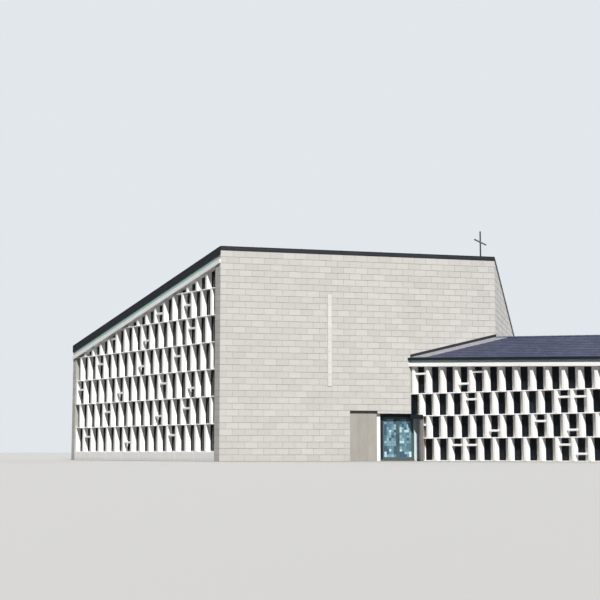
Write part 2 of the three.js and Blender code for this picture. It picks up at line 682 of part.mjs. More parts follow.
// Beam and fascia over the lattice, end wall and floor
function addWingShell() {
  const last = WING_LENGTH - WING_WALL - GAP;
  const beamTop = (x) => wingBandFoot(x) + WING_BEAM;
  const backInner = WING_DEPTH - WING_WALL;
  const frontPlan = [[frontMeet(0), 0], [last, 0], [last, WING_WALL], [frontMeet(WING_WALL), WING_WALL]];
  const backPlan = [
    [sideMeet(WING_DEPTH), WING_DEPTH],
    [sideMeet(backInner), backInner],
    [last, backInner],
    [last, WING_DEPTH],
  ];
  const outerFront = -WING_BEAM_PROUD;
  const outerBack = WING_DEPTH + WING_BEAM_PROUD;
  const frontBeamPlan = [
    [frontMeet(outerFront), outerFront],
    [WING_LENGTH, outerFront],
    [WING_LENGTH, -GAP],
    [last, -GAP],
    [last, WING_WALL],
    [frontMeet(WING_WALL), WING_WALL],
  ];
  const backBeamPlan = [
    [sideMeet(outerBack), outerBack],
    [sideMeet(backInner), backInner],
    [last, backInner],
    [last, WING_DEPTH + GAP],
    [WING_LENGTH, WING_DEPTH + GAP],
    [WING_LENGTH, outerBack],
  ];
  const edges = [
    ['front', frontBeamPlan, frontPlan, wingUnder],
    ['back', backBeamPlan, backPlan, wingUnderBack],
  ];
  edges.forEach(([side, beamPlan, plan, under]) => {
    place(wing, `wing_${side}_beam`, prism(beamPlan, wingBandFoot, (x) => beamTop(x) - GAP), 'concrete');
    place(wing, `wing_${side}_fascia`, prism(plan, beamTop, (x, y) => under(x, y) - GAP), 'fascia');
  });

  const eave = wingEaveUnder - GAP;
  const deep = WING_FALL * WING_LENGTH;
  const gable = [
    [0, 0],
    [WING_DEPTH, 0],
    [WING_DEPTH, eave],
    [WING_RIDGE, eave + WING_ROOF_SLOPE * WING_RIDGE],
    [0, eave],
  ];
  const foot = block(WING_LENGTH - WING_WALL, WING_LENGTH, 0, WING_DEPTH, 0, 2 * deep);
  const underground = block(0, 2 * WING_LENGTH, -WING_WALL, 2 * WING_DEPTH, -2 * deep, 0);
  const end = toSolid(falling(alongX(gable, WING_LENGTH - WING_WALL, WING_LENGTH))).add(toSolid(foot));
  place(wing, 'wing_end_wall', toGeometry(cut(end, [underground])), 'masonry');

  const inner = LATTICE_DEPTH + 2 * GAP + GLASS_THICKNESS;
  const innerBack = WING_DEPTH - inner;
  const stub = STUB_SUM + GAP;
  const floorPlan = [
    [stub - inner, inner],
    [last, inner],
    [last, innerBack],
    [sideMeet(innerBack), innerBack],
    [frontMeet(WING_RIDGE), WING_RIDGE],
    [stub / 2 + GAP, stub / 2 - GAP],
  ];
  place(wing, 'wing_floor', prism(floorPlan, 0, FLOOR), 'floor');
}

function addWingRoof() {
  const over = WING_EAVE_OVERHANG;
  const right = WING_LENGTH + over;
  const ridge = WING_RIDGE;
  const roofTop = (x, y) => wingUnder(x, y) + WING_ROOF;
  const crest = ridge - GAP;
  const frontPlan = [[frontMeet(0), 0], [right, 0], [right, crest], [frontMeet(crest), crest]];
  place(wing, 'wing_roof_front', prism(frontPlan, wingUnder, roofTop), 'roofing');
  const backPlan = [
    [sideMeet(WING_DEPTH), WING_DEPTH],
    [sideMeet(ridge + GAP), ridge + GAP],
    [right, ridge + GAP],
    [right, WING_DEPTH],
  ];
  const backTop = (x, y) => wingUnderBack(x, y) + WING_ROOF;
  place(wing, 'wing_roof_back', prism(backPlan, wingUnderBack, backTop), 'roofing');

  const gutterFoot = (x) => wingEaveUnder - WING_FALL * x;
  const gutterTop = (x) => gutterFoot(x) + WING_ROOF;
  const frontGutter = [
    [frontMeet(-over), -over],
    [right, -over],
    [right, -GAP],
    [frontMeet(-GAP), -GAP],
  ];
  place(wing, 'wing_front_gutter', prism(frontGutter, gutterFoot, gutterTop), 'roofEdge');
  const outer = WING_DEPTH + over;
  const backGutter = [
    [sideMeet(outer), outer],
    [sideMeet(WING_DEPTH + GAP), WING_DEPTH + GAP],
    [right, WING_DEPTH + GAP],
    [right, outer],
  ];
  place(wing, 'wing_back_gutter', prism(backGutter, gutterFoot, gutterTop), 'roofEdge');

  // Sheet strip and upstand where the front slope meets the nave
  const alongNave = (near, far) => [
    [near, 0],
    [far, 0],
    [far + crest, crest],
    [near + crest, crest],
  ];
  const sheetFoot = (x, y) => roofTop(x, y) + GAP;
  const apronReach = 2 * GAP + APRON.thickness * Math.SQRT2;
  const sheetReach = apronReach + 2 * GAP + FLASHING.width * Math.SQRT2;
  const apron = alongNave(2 * GAP, apronReach);
  const apronTop = (x, y) => sheetFoot(x, y) + APRON.height;
  place(wing, 'wing_roof_upstand', prism(apron, sheetFoot, apronTop), 'roofEdge');
  const sheet = alongNave(apronReach + 2 * GAP, sheetReach);
  const sheetTop = (x, y) => sheetFoot(x, y) + FLASHING.thickness;
  place(wing, 'wing_roof_flashing', prism(sheet, sheetFoot, sheetTop), 'flashing');
}

// Head over the way to the doors, post at the inner end of the lower lattice rows,
// and the short wall that closes the wing behind it
function addEntrancePost() {
  const headFront = -ENTRANCE_HEAD.thickness - GAP;
  const headPlan = [
    [frontMeet(headFront), headFront],
    [postRight, headFront],
    [postRight, -GAP],
    [frontMeet(-GAP), -GAP],
  ];
  place(wing, 'entrance_head', prism(headPlan, ENTRANCE_HEAD.bottom, ENTRANCE_HEAD.top), 'frame');
  const top = 2 * WING_PITCH - GAP;
  place(wing, 'entrance_post', block(POST.left, postRight, 0, POST.size, 0, top), 'jamb');
  const middle = WING_START + postRight * Math.SQRT1_2 + GAP;
  const half = STUB_HALF;
  const tip = (POST.size - POST.left) * Math.SQRT1_2 + 2 * GAP;
  const outline = [
    [middle - half, -GAP],
    [middle - half, tip - half],
    [middle, tip],
    [middle + half, tip - half],
    [middle + half, -GAP],
  ];
  place(church, 'entrance_side_wall', prism(outline, 0, top), 'jamb');
}

// Roof cross on a small base plate that follows the roof deck
function addCross() {
  const cross = new THREE.Group();
  cross.position.set(CROSS.x, CROSS.y, 0);
  cross.rotation.z = THREE.MathUtils.degToRad(CROSS.turn);
  church.add(cross);
  const fallX = ROOF_FALL * Math.sin(cross.rotation.z);
  const fallY = ROOF_FALL * Math.cos(cross.rotation.z);
  const deck = (x, y) => roofUnder(CROSS.x, CROSS.y) + ROOF_DECK + GAP - fallX * x - fallY * y;
  const plateTop = (x, y) => deck(x, y) + CROSS.plate;
  const square = (half) => [[-half, -half], [half, -half], [half, half], [-half, half]];
  const half = CROSS.post / 2;
  const arm = CROSS.bar / 2;
  const body = fuse([
    prism(square(CROSS.base / 2), deck, plateTop),
    prism(square(half), (x, y) => deck(x, y) + CROSS.plate / 2, CROSS.top),
    block(-arm, arm, -half, half, CROSS.barAt - half, CROSS.barAt + half),
  ]);
  place(cross, 'roof_cross', toGeometry(body), 'steel');
}

addNaveWalls();
addNaveFloor();
addNaveRoof();
addNaveLattice();
addEntrance();
addDoors();
addWingFront();
addWingBack();
addWingShell();
addWingRoof();
addEntrancePost();
addCross();

export default church;
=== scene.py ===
import math
import random

import bmesh
import bpy
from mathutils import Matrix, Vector


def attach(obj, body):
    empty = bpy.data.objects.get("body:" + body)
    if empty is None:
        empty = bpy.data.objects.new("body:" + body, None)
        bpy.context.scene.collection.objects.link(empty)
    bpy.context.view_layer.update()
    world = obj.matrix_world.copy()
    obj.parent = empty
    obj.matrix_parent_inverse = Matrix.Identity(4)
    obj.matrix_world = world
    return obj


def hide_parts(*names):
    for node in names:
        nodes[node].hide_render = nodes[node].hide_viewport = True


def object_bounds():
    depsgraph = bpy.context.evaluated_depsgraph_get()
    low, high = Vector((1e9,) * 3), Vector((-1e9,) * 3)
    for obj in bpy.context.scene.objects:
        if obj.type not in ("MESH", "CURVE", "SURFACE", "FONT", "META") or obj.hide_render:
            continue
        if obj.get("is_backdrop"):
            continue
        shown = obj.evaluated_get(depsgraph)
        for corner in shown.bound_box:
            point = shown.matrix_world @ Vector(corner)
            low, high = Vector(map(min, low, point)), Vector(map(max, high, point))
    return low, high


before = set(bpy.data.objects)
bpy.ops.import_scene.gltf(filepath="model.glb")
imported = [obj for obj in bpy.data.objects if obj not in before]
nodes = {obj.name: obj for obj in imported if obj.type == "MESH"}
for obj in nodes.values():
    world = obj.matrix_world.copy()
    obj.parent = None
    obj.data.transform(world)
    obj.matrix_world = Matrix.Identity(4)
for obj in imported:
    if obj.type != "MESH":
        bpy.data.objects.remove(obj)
cad_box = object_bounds()

ROOT2 = math.sqrt(2)
LEAST_LENGTH = 0.002  # What is shorter counts as nothing
LEAST_BLOCK = 0.03
BELOW = -1  # Under the ground, or before the start of a wall

# Nave
FRONT = -6.0
NAVE_HALF = 7.125
NAVE_DEPTH = 12.1
FLARE_ANGLE = math.radians(28.5)
FLARE = math.tan(FLARE_ANGLE)
SLANT = 1 / math.cos(FLARE_ANGLE)
WALL_TOP = 10.275
ROOF_FALL = 0.325
ROOF_DECK = 0.135
ROOF_EDGE = 0.175
ROOF_EDGE_WIDTH = 0.15
ROOF_OVERHANG = 0.03
# How far below the wall top the dark sheets on the left wall reach: a deep roof edge that paints the shadow
# of the roof's overhang
SHADOW_APRON_DEPTH = 0.205
MASONRY = 0.365
SIDE_WALL = 0.3
BACK = FRONT + NAVE_DEPTH
BACK_HALF = NAVE_HALF + FLARE * NAVE_DEPTH
SIDE_LENGTH = NAVE_DEPTH * SLANT
SIDE_FALL = ROOF_FALL / SLANT

# Masonry blocks
PANEL_TOP = 2.485
COURSE = PANEL_TOP / 8
BLOCK = 0.62
BLOCK_JOINT = 0.014
BLOCK_PROUD = 0.010
BLOCK_UNEVEN = 0.004
BLOCK_CHAMFER = 0.003
BED = -0.002
ROOF_GAPS = {"front": 0.002, "sides": 0.004, "back": 0.008}  # From the top blocks to the roof

# Raised strip, measured from the nave's middle
STRIP = (-1.745, -1.535)
STRIP_FOOT = 3.67
STRIP_TOP = 8.27
STRIP_STONES = 8
STRIP_JOINT = 0.006
STRIP_PROUD = 0.025
STRIP_CHAMFER = 0.005

# Entrance
PANEL = (-0.615, 0.795)
PIER_RIGHT = 0.965
DOOR_RIGHT = 2.725
ENTRANCE_RIGHT = 3.0
DOOR_HEAD = 2.21
OPENING_TOP = 2.35
NICHE = 0.1
TRIM_CHAMFER = 0.006
DOOR_SETBACK = 0.24
LEAF_THICKNESS = 0.05
LEAF_STILE = 0.075
LEAF_RAIL = 0.09
LEAF_BOTTOM = 0.101
LEAF_TOP = 2.204
LEAF_EDGES = {"left": (1.131, 1.920), "right": (1.930, 2.719)}
GLASS_HALF = 0.008
METAL_CHAMFER = 0.003
BEAD = 0.012
BEAD_DEPTHS = [(0.005, 0.0165), (0.0335, 0.045)]
BEAD_CHAMFER = 0.002
GRIP_INSET = 0.042
GRIP_OUT = 0.034
GRIP_ENDS = (0.85, 1.35)
GRIP_MOUNTS = (0.87, 1.33)
MOSAIC_COLUMNS = 5
MOSAIC_ROWS = 14
MOSAIC_JOINT = 0.005
MOSAIC_PROUD = 0.004
MOSAIC_CHAMFER = 0.0015
MOSAIC_SEEDS = {"left": 7, "right": 29}

# Lattice walls
STRIP_SHARE = 0.18
BACK_LEFT_SHARE = -0.29
BACK_RIGHT_SHARE = 0.33
LATTICE_DEPTH = 0.25
PLATE = 0.05
BAR_HEIGHT = 0.1
BAR_DEPTH = 0.11
BAR_SETBACK = 0.03
SIDE_CELLS = 16
SIDE_PITCH = 1.33
SIDE_BAND = 0.635
SIDE_BEAM = 0.2
SIDE_BEAM_PROUD = 0.045
SIDE_PLINTH = 0.45
SIDE_PANEL = 1.65
ARRIS = 0.009
UNIT_JOINT = 0.005
SASH_HALF = 0.02
SASH_RAIL = 0.025
SASH_CHAMFER = 0.002
STILE_DEPTH = (0.205, 0.2495)
RAIL_DEPTH = (0.208, 0.2495)
PANE_DEPTH = (0.232, 0.242)
PANE_TILT = 0.0015

# Wing
WING_START = 2.535
WING_LENGTH = 12.9
WING_RIDGE = 3.246
WING_DEPTH = 2 * WING_RIDGE
WING_WALL = 0.3
WING_MODULE = 0.775
WING_PITCH = 1.105
WING_FIRST_STRIP = 0.088
WING_TOP_ROW = 4.715
WING_FALL = 0.0365
WING_SLOPE = 0.385
WING_BEAM = 0.185
WING_BEAM_PROUD = 0.07
WING_FASCIA = 0.14
WING_ROOF = 0.13
WING_OVERHANG = 0.11
WING_EAVE = WING_TOP_ROW + WING_BEAM + WING_FASCIA
WING_BACK_START = 0.012  # From the nave's right wall to the slates and ridge caps
CORNER_ROW = 2  # The first row over the entrance post
UPSTAND = 0.15
UPSTAND_WIDTH = 0.035
FLASHING_WIDTH = 0.56
POST = (0.52, 0.68)
POST_DEPTH = 0.16
GAP = 0.0003
SIDE_SPAN = ((SIDE_WALL + 2 * GAP) * SLANT, SIDE_LENGTH - (MASONRY + 2 * GAP) * SLANT)

# Plans along the wing's front and in behind it, where it meets the nave over the entrance post
CORNER_PLATE = [(0.24, 0.24), (0.525, 0.24), (0.3826, 0.3826)]
CORNER_SILL = [(0.001, 0), (0.029, 0), (0.279, LATTICE_DEPTH), (0.251, LATTICE_DEPTH)]
CORNER_PANE_OUT = 0.021

# Slates
SLATE_GAP = 0.002
SLATE_LAP = 0.01
SLATE_LIFT = 0.020
SLATE_UNEVEN = 0.002
SLATE_TILT = 0.045
SLATE_CHAMFER = 0.0015
SLATE_LIP = 0.045

# Sheet metal
CAP_LENGTH = 2
CAP_LIP = 0.008
CAP_GAP = 0.001
CAP_COVER_HALF = 0.04
SHEET = 0.006
RIM = 0.011
STRAP = 0.03
STRAP_START = 0.4
STRAP_PITCH = 0.8
RIDGE_CAP = 0.45
RIDGE_CAP_HALF = 0.14
RIDGE_CAP_RISE = 0.024

# Roof cross, from the middle of the front wall
CROSS_PLACE = (6.99, 1.5)
CROSS_TURN = math.radians(49)
CROSS_HALF = 0.038
CROSS_BOLT = 0.1

# Camera, fitted to the photo
CAMERA_PLACE = (-15.837, -61.139, 0.45)
CAMERA_TILT = math.radians(90 + 6)
CAMERA_TURN = math.radians(-12.956)
CAMERA_LENS = 69.28
CAMERA_SHIFT = 0.0512
STAGE_HALF = 900

# Sockets of a mix node that carry colours
COLOR_A, COLOR_B, COLOR_RESULT = 6, 7, 2


class Face:
    """A flat side of the building. A place on it is given along it, up it and out of it."""

    def __init__(self, corner, along, up=(0, 0, 1)):
        self.corner = Vector(corner)
        self.along = Vector(along).normalized()
        self.out = self.along.cross(Vector(up)).normalized()
        self.up = self.out.cross(self.along)

    def at(self, along, up, out=0.0):
        return self.corner + along * self.along + up * self.up + out * self.out


front_face = Face((-NAVE_HALF, FRONT, 0), (1, 0, 0))
right_face = Face((NAVE_HALF, FRONT, 0), (FLARE, 1, 0))
back_face = Face((BACK_HALF, BACK, 0), (-1, 0, 0))
left_face = Face((-BACK_HALF, BACK, 0), (FLARE, -1, 0))
wing_front = Face((WING_START, FRONT, 0), (1, -1, 0))
wing_end = Face(wing_front.at(WING_LENGTH, 0), (1, 1, 0))
wing_back = Face(wing_end.at(WING_DEPTH, 0), (-1, 1, 0))

# Planes that keep the wing's pieces clear of the nave, as a point and a normal
at_front_wall = ((0, FRONT - 0.0005, 0), (0, 1, 0))
at_right_wall = (right_face.at(0, 0, 2 * GAP), -right_face.out)


def clip(outline, point, normal):
    """The part of a convex outline that lies behind a line."""
    away = [(x - point[0]) * normal[0] + (y - point[1]) * normal[1] for x, y in outline]
    kept = []
    for i, (x, y) in enumerate(outline):
        j = (i + 1) % len(outline)
        if away[i] <= 0:
            kept.append((x, y))
        if away[i] * away[j] < 0:
            share = away[i] / (away[i] - away[j])
            kept.append((x + share * (outline[j][0] - x), y + share * (outline[j][1] - y)))
    return kept


def inset(outline, by):
    """A convex outline less doubled corners, and with its sides moved in, or None twice if none is left."""
    corners = [p for i, p in enumerate(outline) if math.dist(p, outline[i - 1]) > LEAST_LENGTH]
    if len(corners) < 3:
        return None, None
    sides = []
    for i, (x, y) in enumerate(corners):
        u, v = corners[(i + 1) % len(corners)]
        length = math.hypot(u - x, v - y)
        du, dv = (u - x) / length, (v - y) / length
        sides.append((x - by * dv, y + by * du, du, dv))
    moved = []
    for i, (u, v, du, dv) in enumerate(sides):
        x, y, dx, dy = sides[i - 1]
        cross = dx * dv - dy * du
        if abs(cross) < 1e-6:
            return None, None
        share = ((u - x) * dv - (v - y) * du) / cross
        moved.append((x + share * dx, y + share * dy))
    for i, (x, y) in enumerate(moved):
        u, v = moved[(i + 1) % len(moved)]
        if (u - x) * sides[i][2] + (v - y) * sides[i][3] <= 0:
            return None, None
    return corners, moved


def rectangle(a, b):
    """Corners of a rectangle given by two ranges, counter-clockwise."""
    return [(a[0], b[0]), (a[1], b[0]), (a[1], b[1]), (a[0], b[1])]


def add_object(name, data):
    made = bpy.data.objects.new(name, data)
    bpy.context.collection.objects.link(made)
    return made


class Pieces:
    """Closed bodies gathered into one mesh. Each has a tone from 0 to 1 that its finish reads."""

    def __init__(self, seed):
        self.points, self.faces, self.tones = [], [], []
        self.chance = random.Random(seed)

    def add(self, points, faces, tone=None):
        start = len(self.points)
        self.points.extend(points)
        self.faces.extend([start + i for i in face] for face in faces)
        tone = self.chance.random() if tone is None else tone
        self.tones.extend([tone] * len(faces))

    def loft(self, rings, tone=None):
        """Body through rings of equally many points, each counter-clockwise seen from its far end."""
        count = len(rings[0])
        faces = [list(range(count))[::-1]]
        for ring in range(len(rings) - 1):
            low, high = ring * count, (ring + 1) * count
            for i in range(count):
                j = (i + 1) % count
                faces.append([low + i, low + j, high + j, high + i])
        last = (len(rings) - 1) * count
        faces.append([last + i for i in range(count)])
        self.add([p for ring in rings for p in ring], faces, tone)

    def slab(self, face, outline, low, high, chamfer, tone=None):
        """Flat piece on a face from low out to high, its front edges chamfered. high may be a function."""
        corners, inner = inset(outline, chamfer)
        if corners is None:
            return
        height = high if callable(high) else lambda a, b: high
        self.loft(
            [
                [face.at(a, b, low) for a, b in corners],
                [face.at(a, b, height(a, b) - chamfer) for a, b in corners],
                [face.at(a, b, height(a, b)) for a, b in inner],
            ],
            tone,
        )

    def solid(self, low, high, chamfer=0.0, cuts=(), tone=None):
        """Convex body between two rings, less what lies beyond each plane of a point and a normal."""
        body = bmesh.new()
        count = len(low)
        corners = [body.verts.new(p) for p in (*low, *high)]
        body.faces.new(corners[:count][::-1])
        body.faces.new(corners[count:])
        for i in range(count):
            j = (i + 1) % count
            body.faces.new([corners[i], corners[j], corners[count + j], corners[count + i]])
        for point, normal in cuts:
            away = [(v.co - Vector(point)).dot(Vector(normal)) for v in body.verts]
            if min(away) > -LEAST_LENGTH:
                body.free()
                return
            if max(away) <= 0:
                continue
            geometry = [*body.verts, *body.edges, *body.faces]
            bmesh.ops.bisect_plane(body, geom=geometry, plane_co=point, plane_no=normal, clear_outer=True)
            rim = [e for e in body.edges if e.is_boundary]
            bmesh.ops.holes_fill(body, edges=rim, sides=0)
        if chamfer:
            bmesh.ops.bevel(
                body, geom=body.edges[:], offset=chamfer, segments=1, affect="EDGES", clamp_overlap=True
            )
        bmesh.ops.recalc_face_normals(body, faces=body.faces)
        body.verts.index_update()
        faces = [[v.index for v in f.verts] for f in body.faces]
        self.add([v.co.copy() for v in body.verts], faces, tone)
        body.free()

    def box(self, face, along, up, depth, chamfer=0.0, cuts=(), tone=None):
        """Box given by its ranges along a face, up it, and in behind it."""
        self.upright(face, rectangle(along, depth), *up, chamfer, cuts, tone)

    def upright(self, face, plan, foot, top, chamfer=0.0, cuts=(), tone=None):
        """Prism on a plan given along a face and in behind it."""
        rings = [[face.at(a, up, -d) for a, d in plan] for up in (foot, top)]
        self.solid(*rings, chamfer, cuts, tone)

    def rod(self, start, end, radius, sides=16):
        axis = (end - start).normalized()
        across = axis.orthogonal().normalized()
        other = axis.cross(across)
        turns = [2 * math.pi * i / sides for i in range(sides)]
        ring = [radius * (math.cos(t) * across + math.sin(t) * other) for t in turns]
        self.loft([[start + p for p in ring], [end + p for p in ring]])

    def make(self, name, finish, slot, body="root", replaces=()):
        mesh = bpy.data.meshes.new(name)
        mesh.from_pydata(self.points, [], self.faces)
        mesh.attributes.new("tone", "FLOAT", "FACE").data.foreach_set("value", self.tones)
        mesh.materials.append(finish)
        piece = add_object(name, mesh)
        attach(piece, body)
        if replaces:
            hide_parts(*replaces)


class Finish:
    """A material whose colour is built up in steps, from the tone of each body and from noise."""

    def __init__(self, name, color, roughness, metallic=0.0):
        self.material = bpy.data.materials.new(name)
        self.material.use_nodes = True
        self.nodes = self.material.node_tree.nodes
        self.links = self.material.node_tree.links
        self.shader = self.nodes["Principled BSDF"]
        for key, value in {"Base Color": (*color, 1), "Roughness": roughness, "Metallic": metallic}.items():
            self.shader.inputs[key].default_value = value
        self.place = self.node("TexCoord").outputs["Object"]
        self.color = (*color, 1)

    def node(self, kind, **inputs):
        """A node with inputs set to values or linked to sockets. Their names have _ for a space."""
        node = self.nodes.new(f"ShaderNode{kind}")
        for key, value in inputs.items():
            self.feed(value, node.inputs[key.replace("_", " ")])
        return node

    def feed(self, value, socket):
        if isinstance(value, bpy.types.NodeSocket):
            self.links.new(value, socket)
        else:
            socket.default_value = value

    def tones(self, stops, stepped=False):
        """Colour of each body by its tone, from (tone, colour) stops."""
        read = self.node("Attribute")
        read.attribute_name = "tone"
        ramp = self.node("ValToRGB", Fac=read.outputs["Fac"])
        if stepped:
            ramp.color_ramp.interpolation = "CONSTANT"
        marks = ramp.color_ramp.elements
        while len(marks) < len(stops):
            marks.new(0.5)
        for mark, (tone, color) in zip(marks, stops):
            mark.position = tone
            mark.color = (*color, 1)
        self.color = ramp.outputs["Color"]

    def noise(self, scale, detail=4.0, squeeze=1, low=0.35, high=0.65):
        """Noise from 0 to 1, its middle range spread out. A squeeze under 1 draws it out in height."""
        spread = self.node("Mapping", Scale=(1, 1, squeeze), Vector=self.place)
        grain = self.node("TexNoise", Scale=scale, Detail=detail, Vector=spread.outputs["Vector"])
        reach = self.node("MapRange", From_Min=low, From_Max=high, Value=grain.outputs["Fac"])
        return reach.outputs["Result"]

    def near_ground(self, reach):
        """1 at the ground, falling to 0 at a height."""
        parts = self.node("SeparateXYZ", Vector=self.place)
        fall = self.node("MapRange", From_Max=reach, To_Min=1, To_Max=0, Value=parts.outputs["Z"])
        return fall.outputs["Result"]

    def blend(self, amount, color, most=1.0):
        """Blends another colour in where the amount is high, and no more than most of it."""
        share = self.node("Math")
        share.operation = "MULTIPLY"
        share.inputs[1].default_value = most
        self.links.new(amount, share.inputs[0])
        mix = self.node("Mix")
        mix.data_type = "RGBA"
        self.links.new(share.outputs["Value"], mix.inputs["Factor"])
        self.feed(self.color, mix.inputs[COLOR_A])
        self.feed((*color, 1), mix.inputs[COLOR_B])
        self.color = mix.outputs[COLOR_RESULT]

    def roughen(self, value, low, high):
        reach = self.node("MapRange", To_Min=low, To_Max=high, Value=value)
        self.links.new(reach.outputs["Result"], self.shader.inputs["Roughness"])

    def bump(self, value, distance, strength=1.0):
        bump = self.node("Bump", Distance=distance, Strength=strength, Height=value)
        self.links.new(bump.outputs["Normal"], self.shader.inputs["Normal"])

    def done(self):
        self.feed(self.color, self.shader.inputs["Base Color"])
        return self.material


def finished(
    name, color, roughness, metallic=0.0,
    tones=(), stepped=False, blends=(), foot=None, gloss=None, rough=None, bump=None,
):
    """A finish from its steps. Each noise is given by its arguments, the foot by how high it reaches."""
    finish = Finish(name, color, roughness, metallic)
    if tones:
        finish.tones(tones, stepped)
    for noise, stain, most in blends:
        finish.blend(finish.noise(*noise), stain, most)
    if foot:
        reach, stain, most = foot
        finish.blend(finish.near_ground(reach), stain, most)
    if gloss is not None:
        finish.shader.inputs["Specular IOR Level"].default_value = gloss
    if rough:
        scale, low, high = rough
        finish.roughen(finish.noise(scale), low, high)
    if bump:
        noise, distance, strength = bump
        finish.bump(finish.noise(*noise), distance, strength)
    return finish.done()


masonry = finished(
    "masonry_block", (0.47, 0.462, 0.434), 0.88,
    tones=[(0.0, (0.430, 0.427, 0.412)), (0.5, (0.455, 0.452, 0.437)), (1.0, (0.490, 0.487, 0.473))],
    blends=[
        ((9, 6), (0.41, 0.40, 0.372), 0.18),
        ((0.35, 3, 0.5), (0.53, 0.52, 0.495), 0.18),
        ((70, 3, 1, 0.58, 0.72), (0.32, 0.305, 0.28), 0.30),
    ],
    foot=(0.45, (0.38, 0.36, 0.325), 0.25),
    bump=((55, 8), 0.004, 0.7),
)
strip_stone = finished(
    "strip_stone", (0.55, 0.545, 0.525), 0.8,
    tones=[(0.0, (0.535, 0.53, 0.51)), (1.0, (0.575, 0.57, 0.55))],
    blends=[((7, 6), (0.47, 0.46, 0.44), 0.25)],
    bump=((60, 8), 0.003, 0.6),
)
mortar = finished(
    "mortar", (0.36, 0.35, 0.325), 0.95,
    blends=[((14, 5), (0.28, 0.27, 0.25), 0.4)],
    bump=((120, 6), 0.002, 0.6),
)
concrete = finished(
    "white_concrete", (0.90, 0.905, 0.90), 0.62,
    tones=[(0.0, (0.86, 0.865, 0.86)), (1.0, (0.92, 0.925, 0.92))],
    blends=[
        ((2.2, 5, 0.25), (0.74, 0.74, 0.72), 0.2),
        ((90, 2, 1, 0.66, 0.74), (0.45, 0.45, 0.42), 0.35),
    ],
    foot=(0.2, (0.55, 0.53, 0.48), 0.4),
    rough=(25, 0.55, 0.75), bump=((80, 6), 0.0015, 0.6),
)
roof_edge = finished(
    "roof_edge_metal", (0.010, 0.013, 0.021), 0.42,
    blends=[((1.5, 4, 3), (0.020, 0.023, 0.031), 0.5)],
    rough=(30, 0.36, 0.55), bump=((6, 2), 0.002, 0.5),
)


def slate_finish(name, stops, stain):
    return finished(
        name,
        stops[1][1],
        0.6,
        tones=stops,
        blends=[((12, 6), stain, 0.35), ((0.6, 3), (0.060, 0.063, 0.095), 0.16)],
        gloss=0.25,
        rough=(40, 0.5, 0.75),
        bump=((60, 8), 0.002, 0.6),
    )


nave_slate = slate_finish(
    "nave_slate",
    [(0.0, (0.036, 0.035, 0.046)), (0.6, (0.046, 0.045, 0.058)), (1.0, (0.060, 0.059, 0.074))],
    (0.030, 0.030, 0.037),
)
wing_slate = slate_finish(
    "wing_slate",
    [(0.0, (0.022, 0.028, 0.056)), (0.6, (0.029, 0.036, 0.072)), (1.0, (0.039, 0.048, 0.092))],
    (0.032, 0.030, 0.048),
)
underlay = finished("roof_underlay", (0.03, 0.03, 0.035), 0.9, bump=((50,), 0.002, 1.0))
fascia = finished(
    "fascia_paint", (0.37, 0.55, 0.56), 0.45,
    blends=[((3, 4, 0.4), (0.40, 0.54, 0.55), 0.5)],
    bump=((40,), 0.0006, 0.5),
)
flashing = finished(
    "flashing_sheet", (0.24, 0.24, 0.26), 0.48, 0.6,
    blends=[((5, 5), (0.36, 0.36, 0.39), 0.6)],
    rough=(18, 0.4, 0.65), bump=((4, 2), 0.004, 0.5),
)
glazing = finished(
    "dark_glazing", (0.006, 0.009, 0.014), 0.05,
    tones=[(0.0, (0.004, 0.006, 0.010)), (0.8, (0.010, 0.014, 0.020)), (1.0, (0.028, 0.034, 0.040))],
    bump=((1.2, 1), 0.004, 0.4),
)
window_frame = finished(
    "window_frame", (0.012, 0.013, 0.015), 0.4, blends=[((20,), (0.03, 0.03, 0.03), 0.5)]
)
door_metal = finished(
    "door_metal", (0.012, 0.018, 0.028), 0.35, 0.3,
    blends=[((8, 4), (0.026, 0.036, 0.048), 0.5)],
    rough=(60, 0.28, 0.46),
)
door_leaf = finished(
    "door_leaf_metal", (0.070, 0.120, 0.135), 0.38, 0.2,
    blends=[((8, 4), (0.090, 0.145, 0.160), 0.5)],
    rough=(60, 0.3, 0.48),
)
door_backing = finished("door_glass", (0.01, 0.025, 0.045), 0.08, bump=((6, 1), 0.002, 0.4))
panel = finished(
    "entrance_panel", (0.308, 0.296, 0.272), 0.7,
    tones=[(0.0, (0.294, 0.283, 0.260)), (1.0, (0.322, 0.310, 0.285))],
    blends=[((3.5, 6, 0.35), (0.235, 0.228, 0.212), 0.5), ((60, 3), (0.33, 0.318, 0.292), 0.25)],
    bump=((70, 6), 0.001, 0.6),
)
jamb = finished(
    "grey_green_jamb", (0.50, 0.57, 0.59), 0.6,
    blends=[((4, 5, 0.3), (0.42, 0.48, 0.50), 0.4)],
    bump=((60, 5), 0.0008, 0.6),
)
post = finished(
    "entrance_post", (0.26, 0.235, 0.22), 0.6,
    blends=[((5, 5, 0.3), (0.18, 0.165, 0.155), 0.5)],
    bump=((60, 5), 0.0008, 0.6),
)
cross_steel = finished(
    "cross_steel", (0.035, 0.037, 0.042), 0.4, 0.6,
    blends=[((10, 5), (0.09, 0.075, 0.06), 0.4)],
    rough=(40, 0.3, 0.55),
)


# Coloured glass: each tile takes one of seven blues by its tone, with nothing between them
mosaic = finished(
    "door_mosaic", (0.1, 0.3, 0.4), 0.14,
    tones=[
        (0.0, (0.045, 0.090, 0.140)),
        (0.15, (0.085, 0.165, 0.215)),
        (0.36, (0.120, 0.220, 0.265)),
        (0.58, (0.180, 0.305, 0.355)),
        (0.76, (0.265, 0.410, 0.475)),
        (0.90, (0.440, 0.610, 0.680)),
        (0.97, (0.600, 0.740, 0.790)),
    ],
    stepped=True,
    blends=[((28, 4), (0.05, 0.13, 0.20), 0.25)],
    rough=(35, 0.08, 0.22), bump=((22, 3), 0.002, 0.6),
)


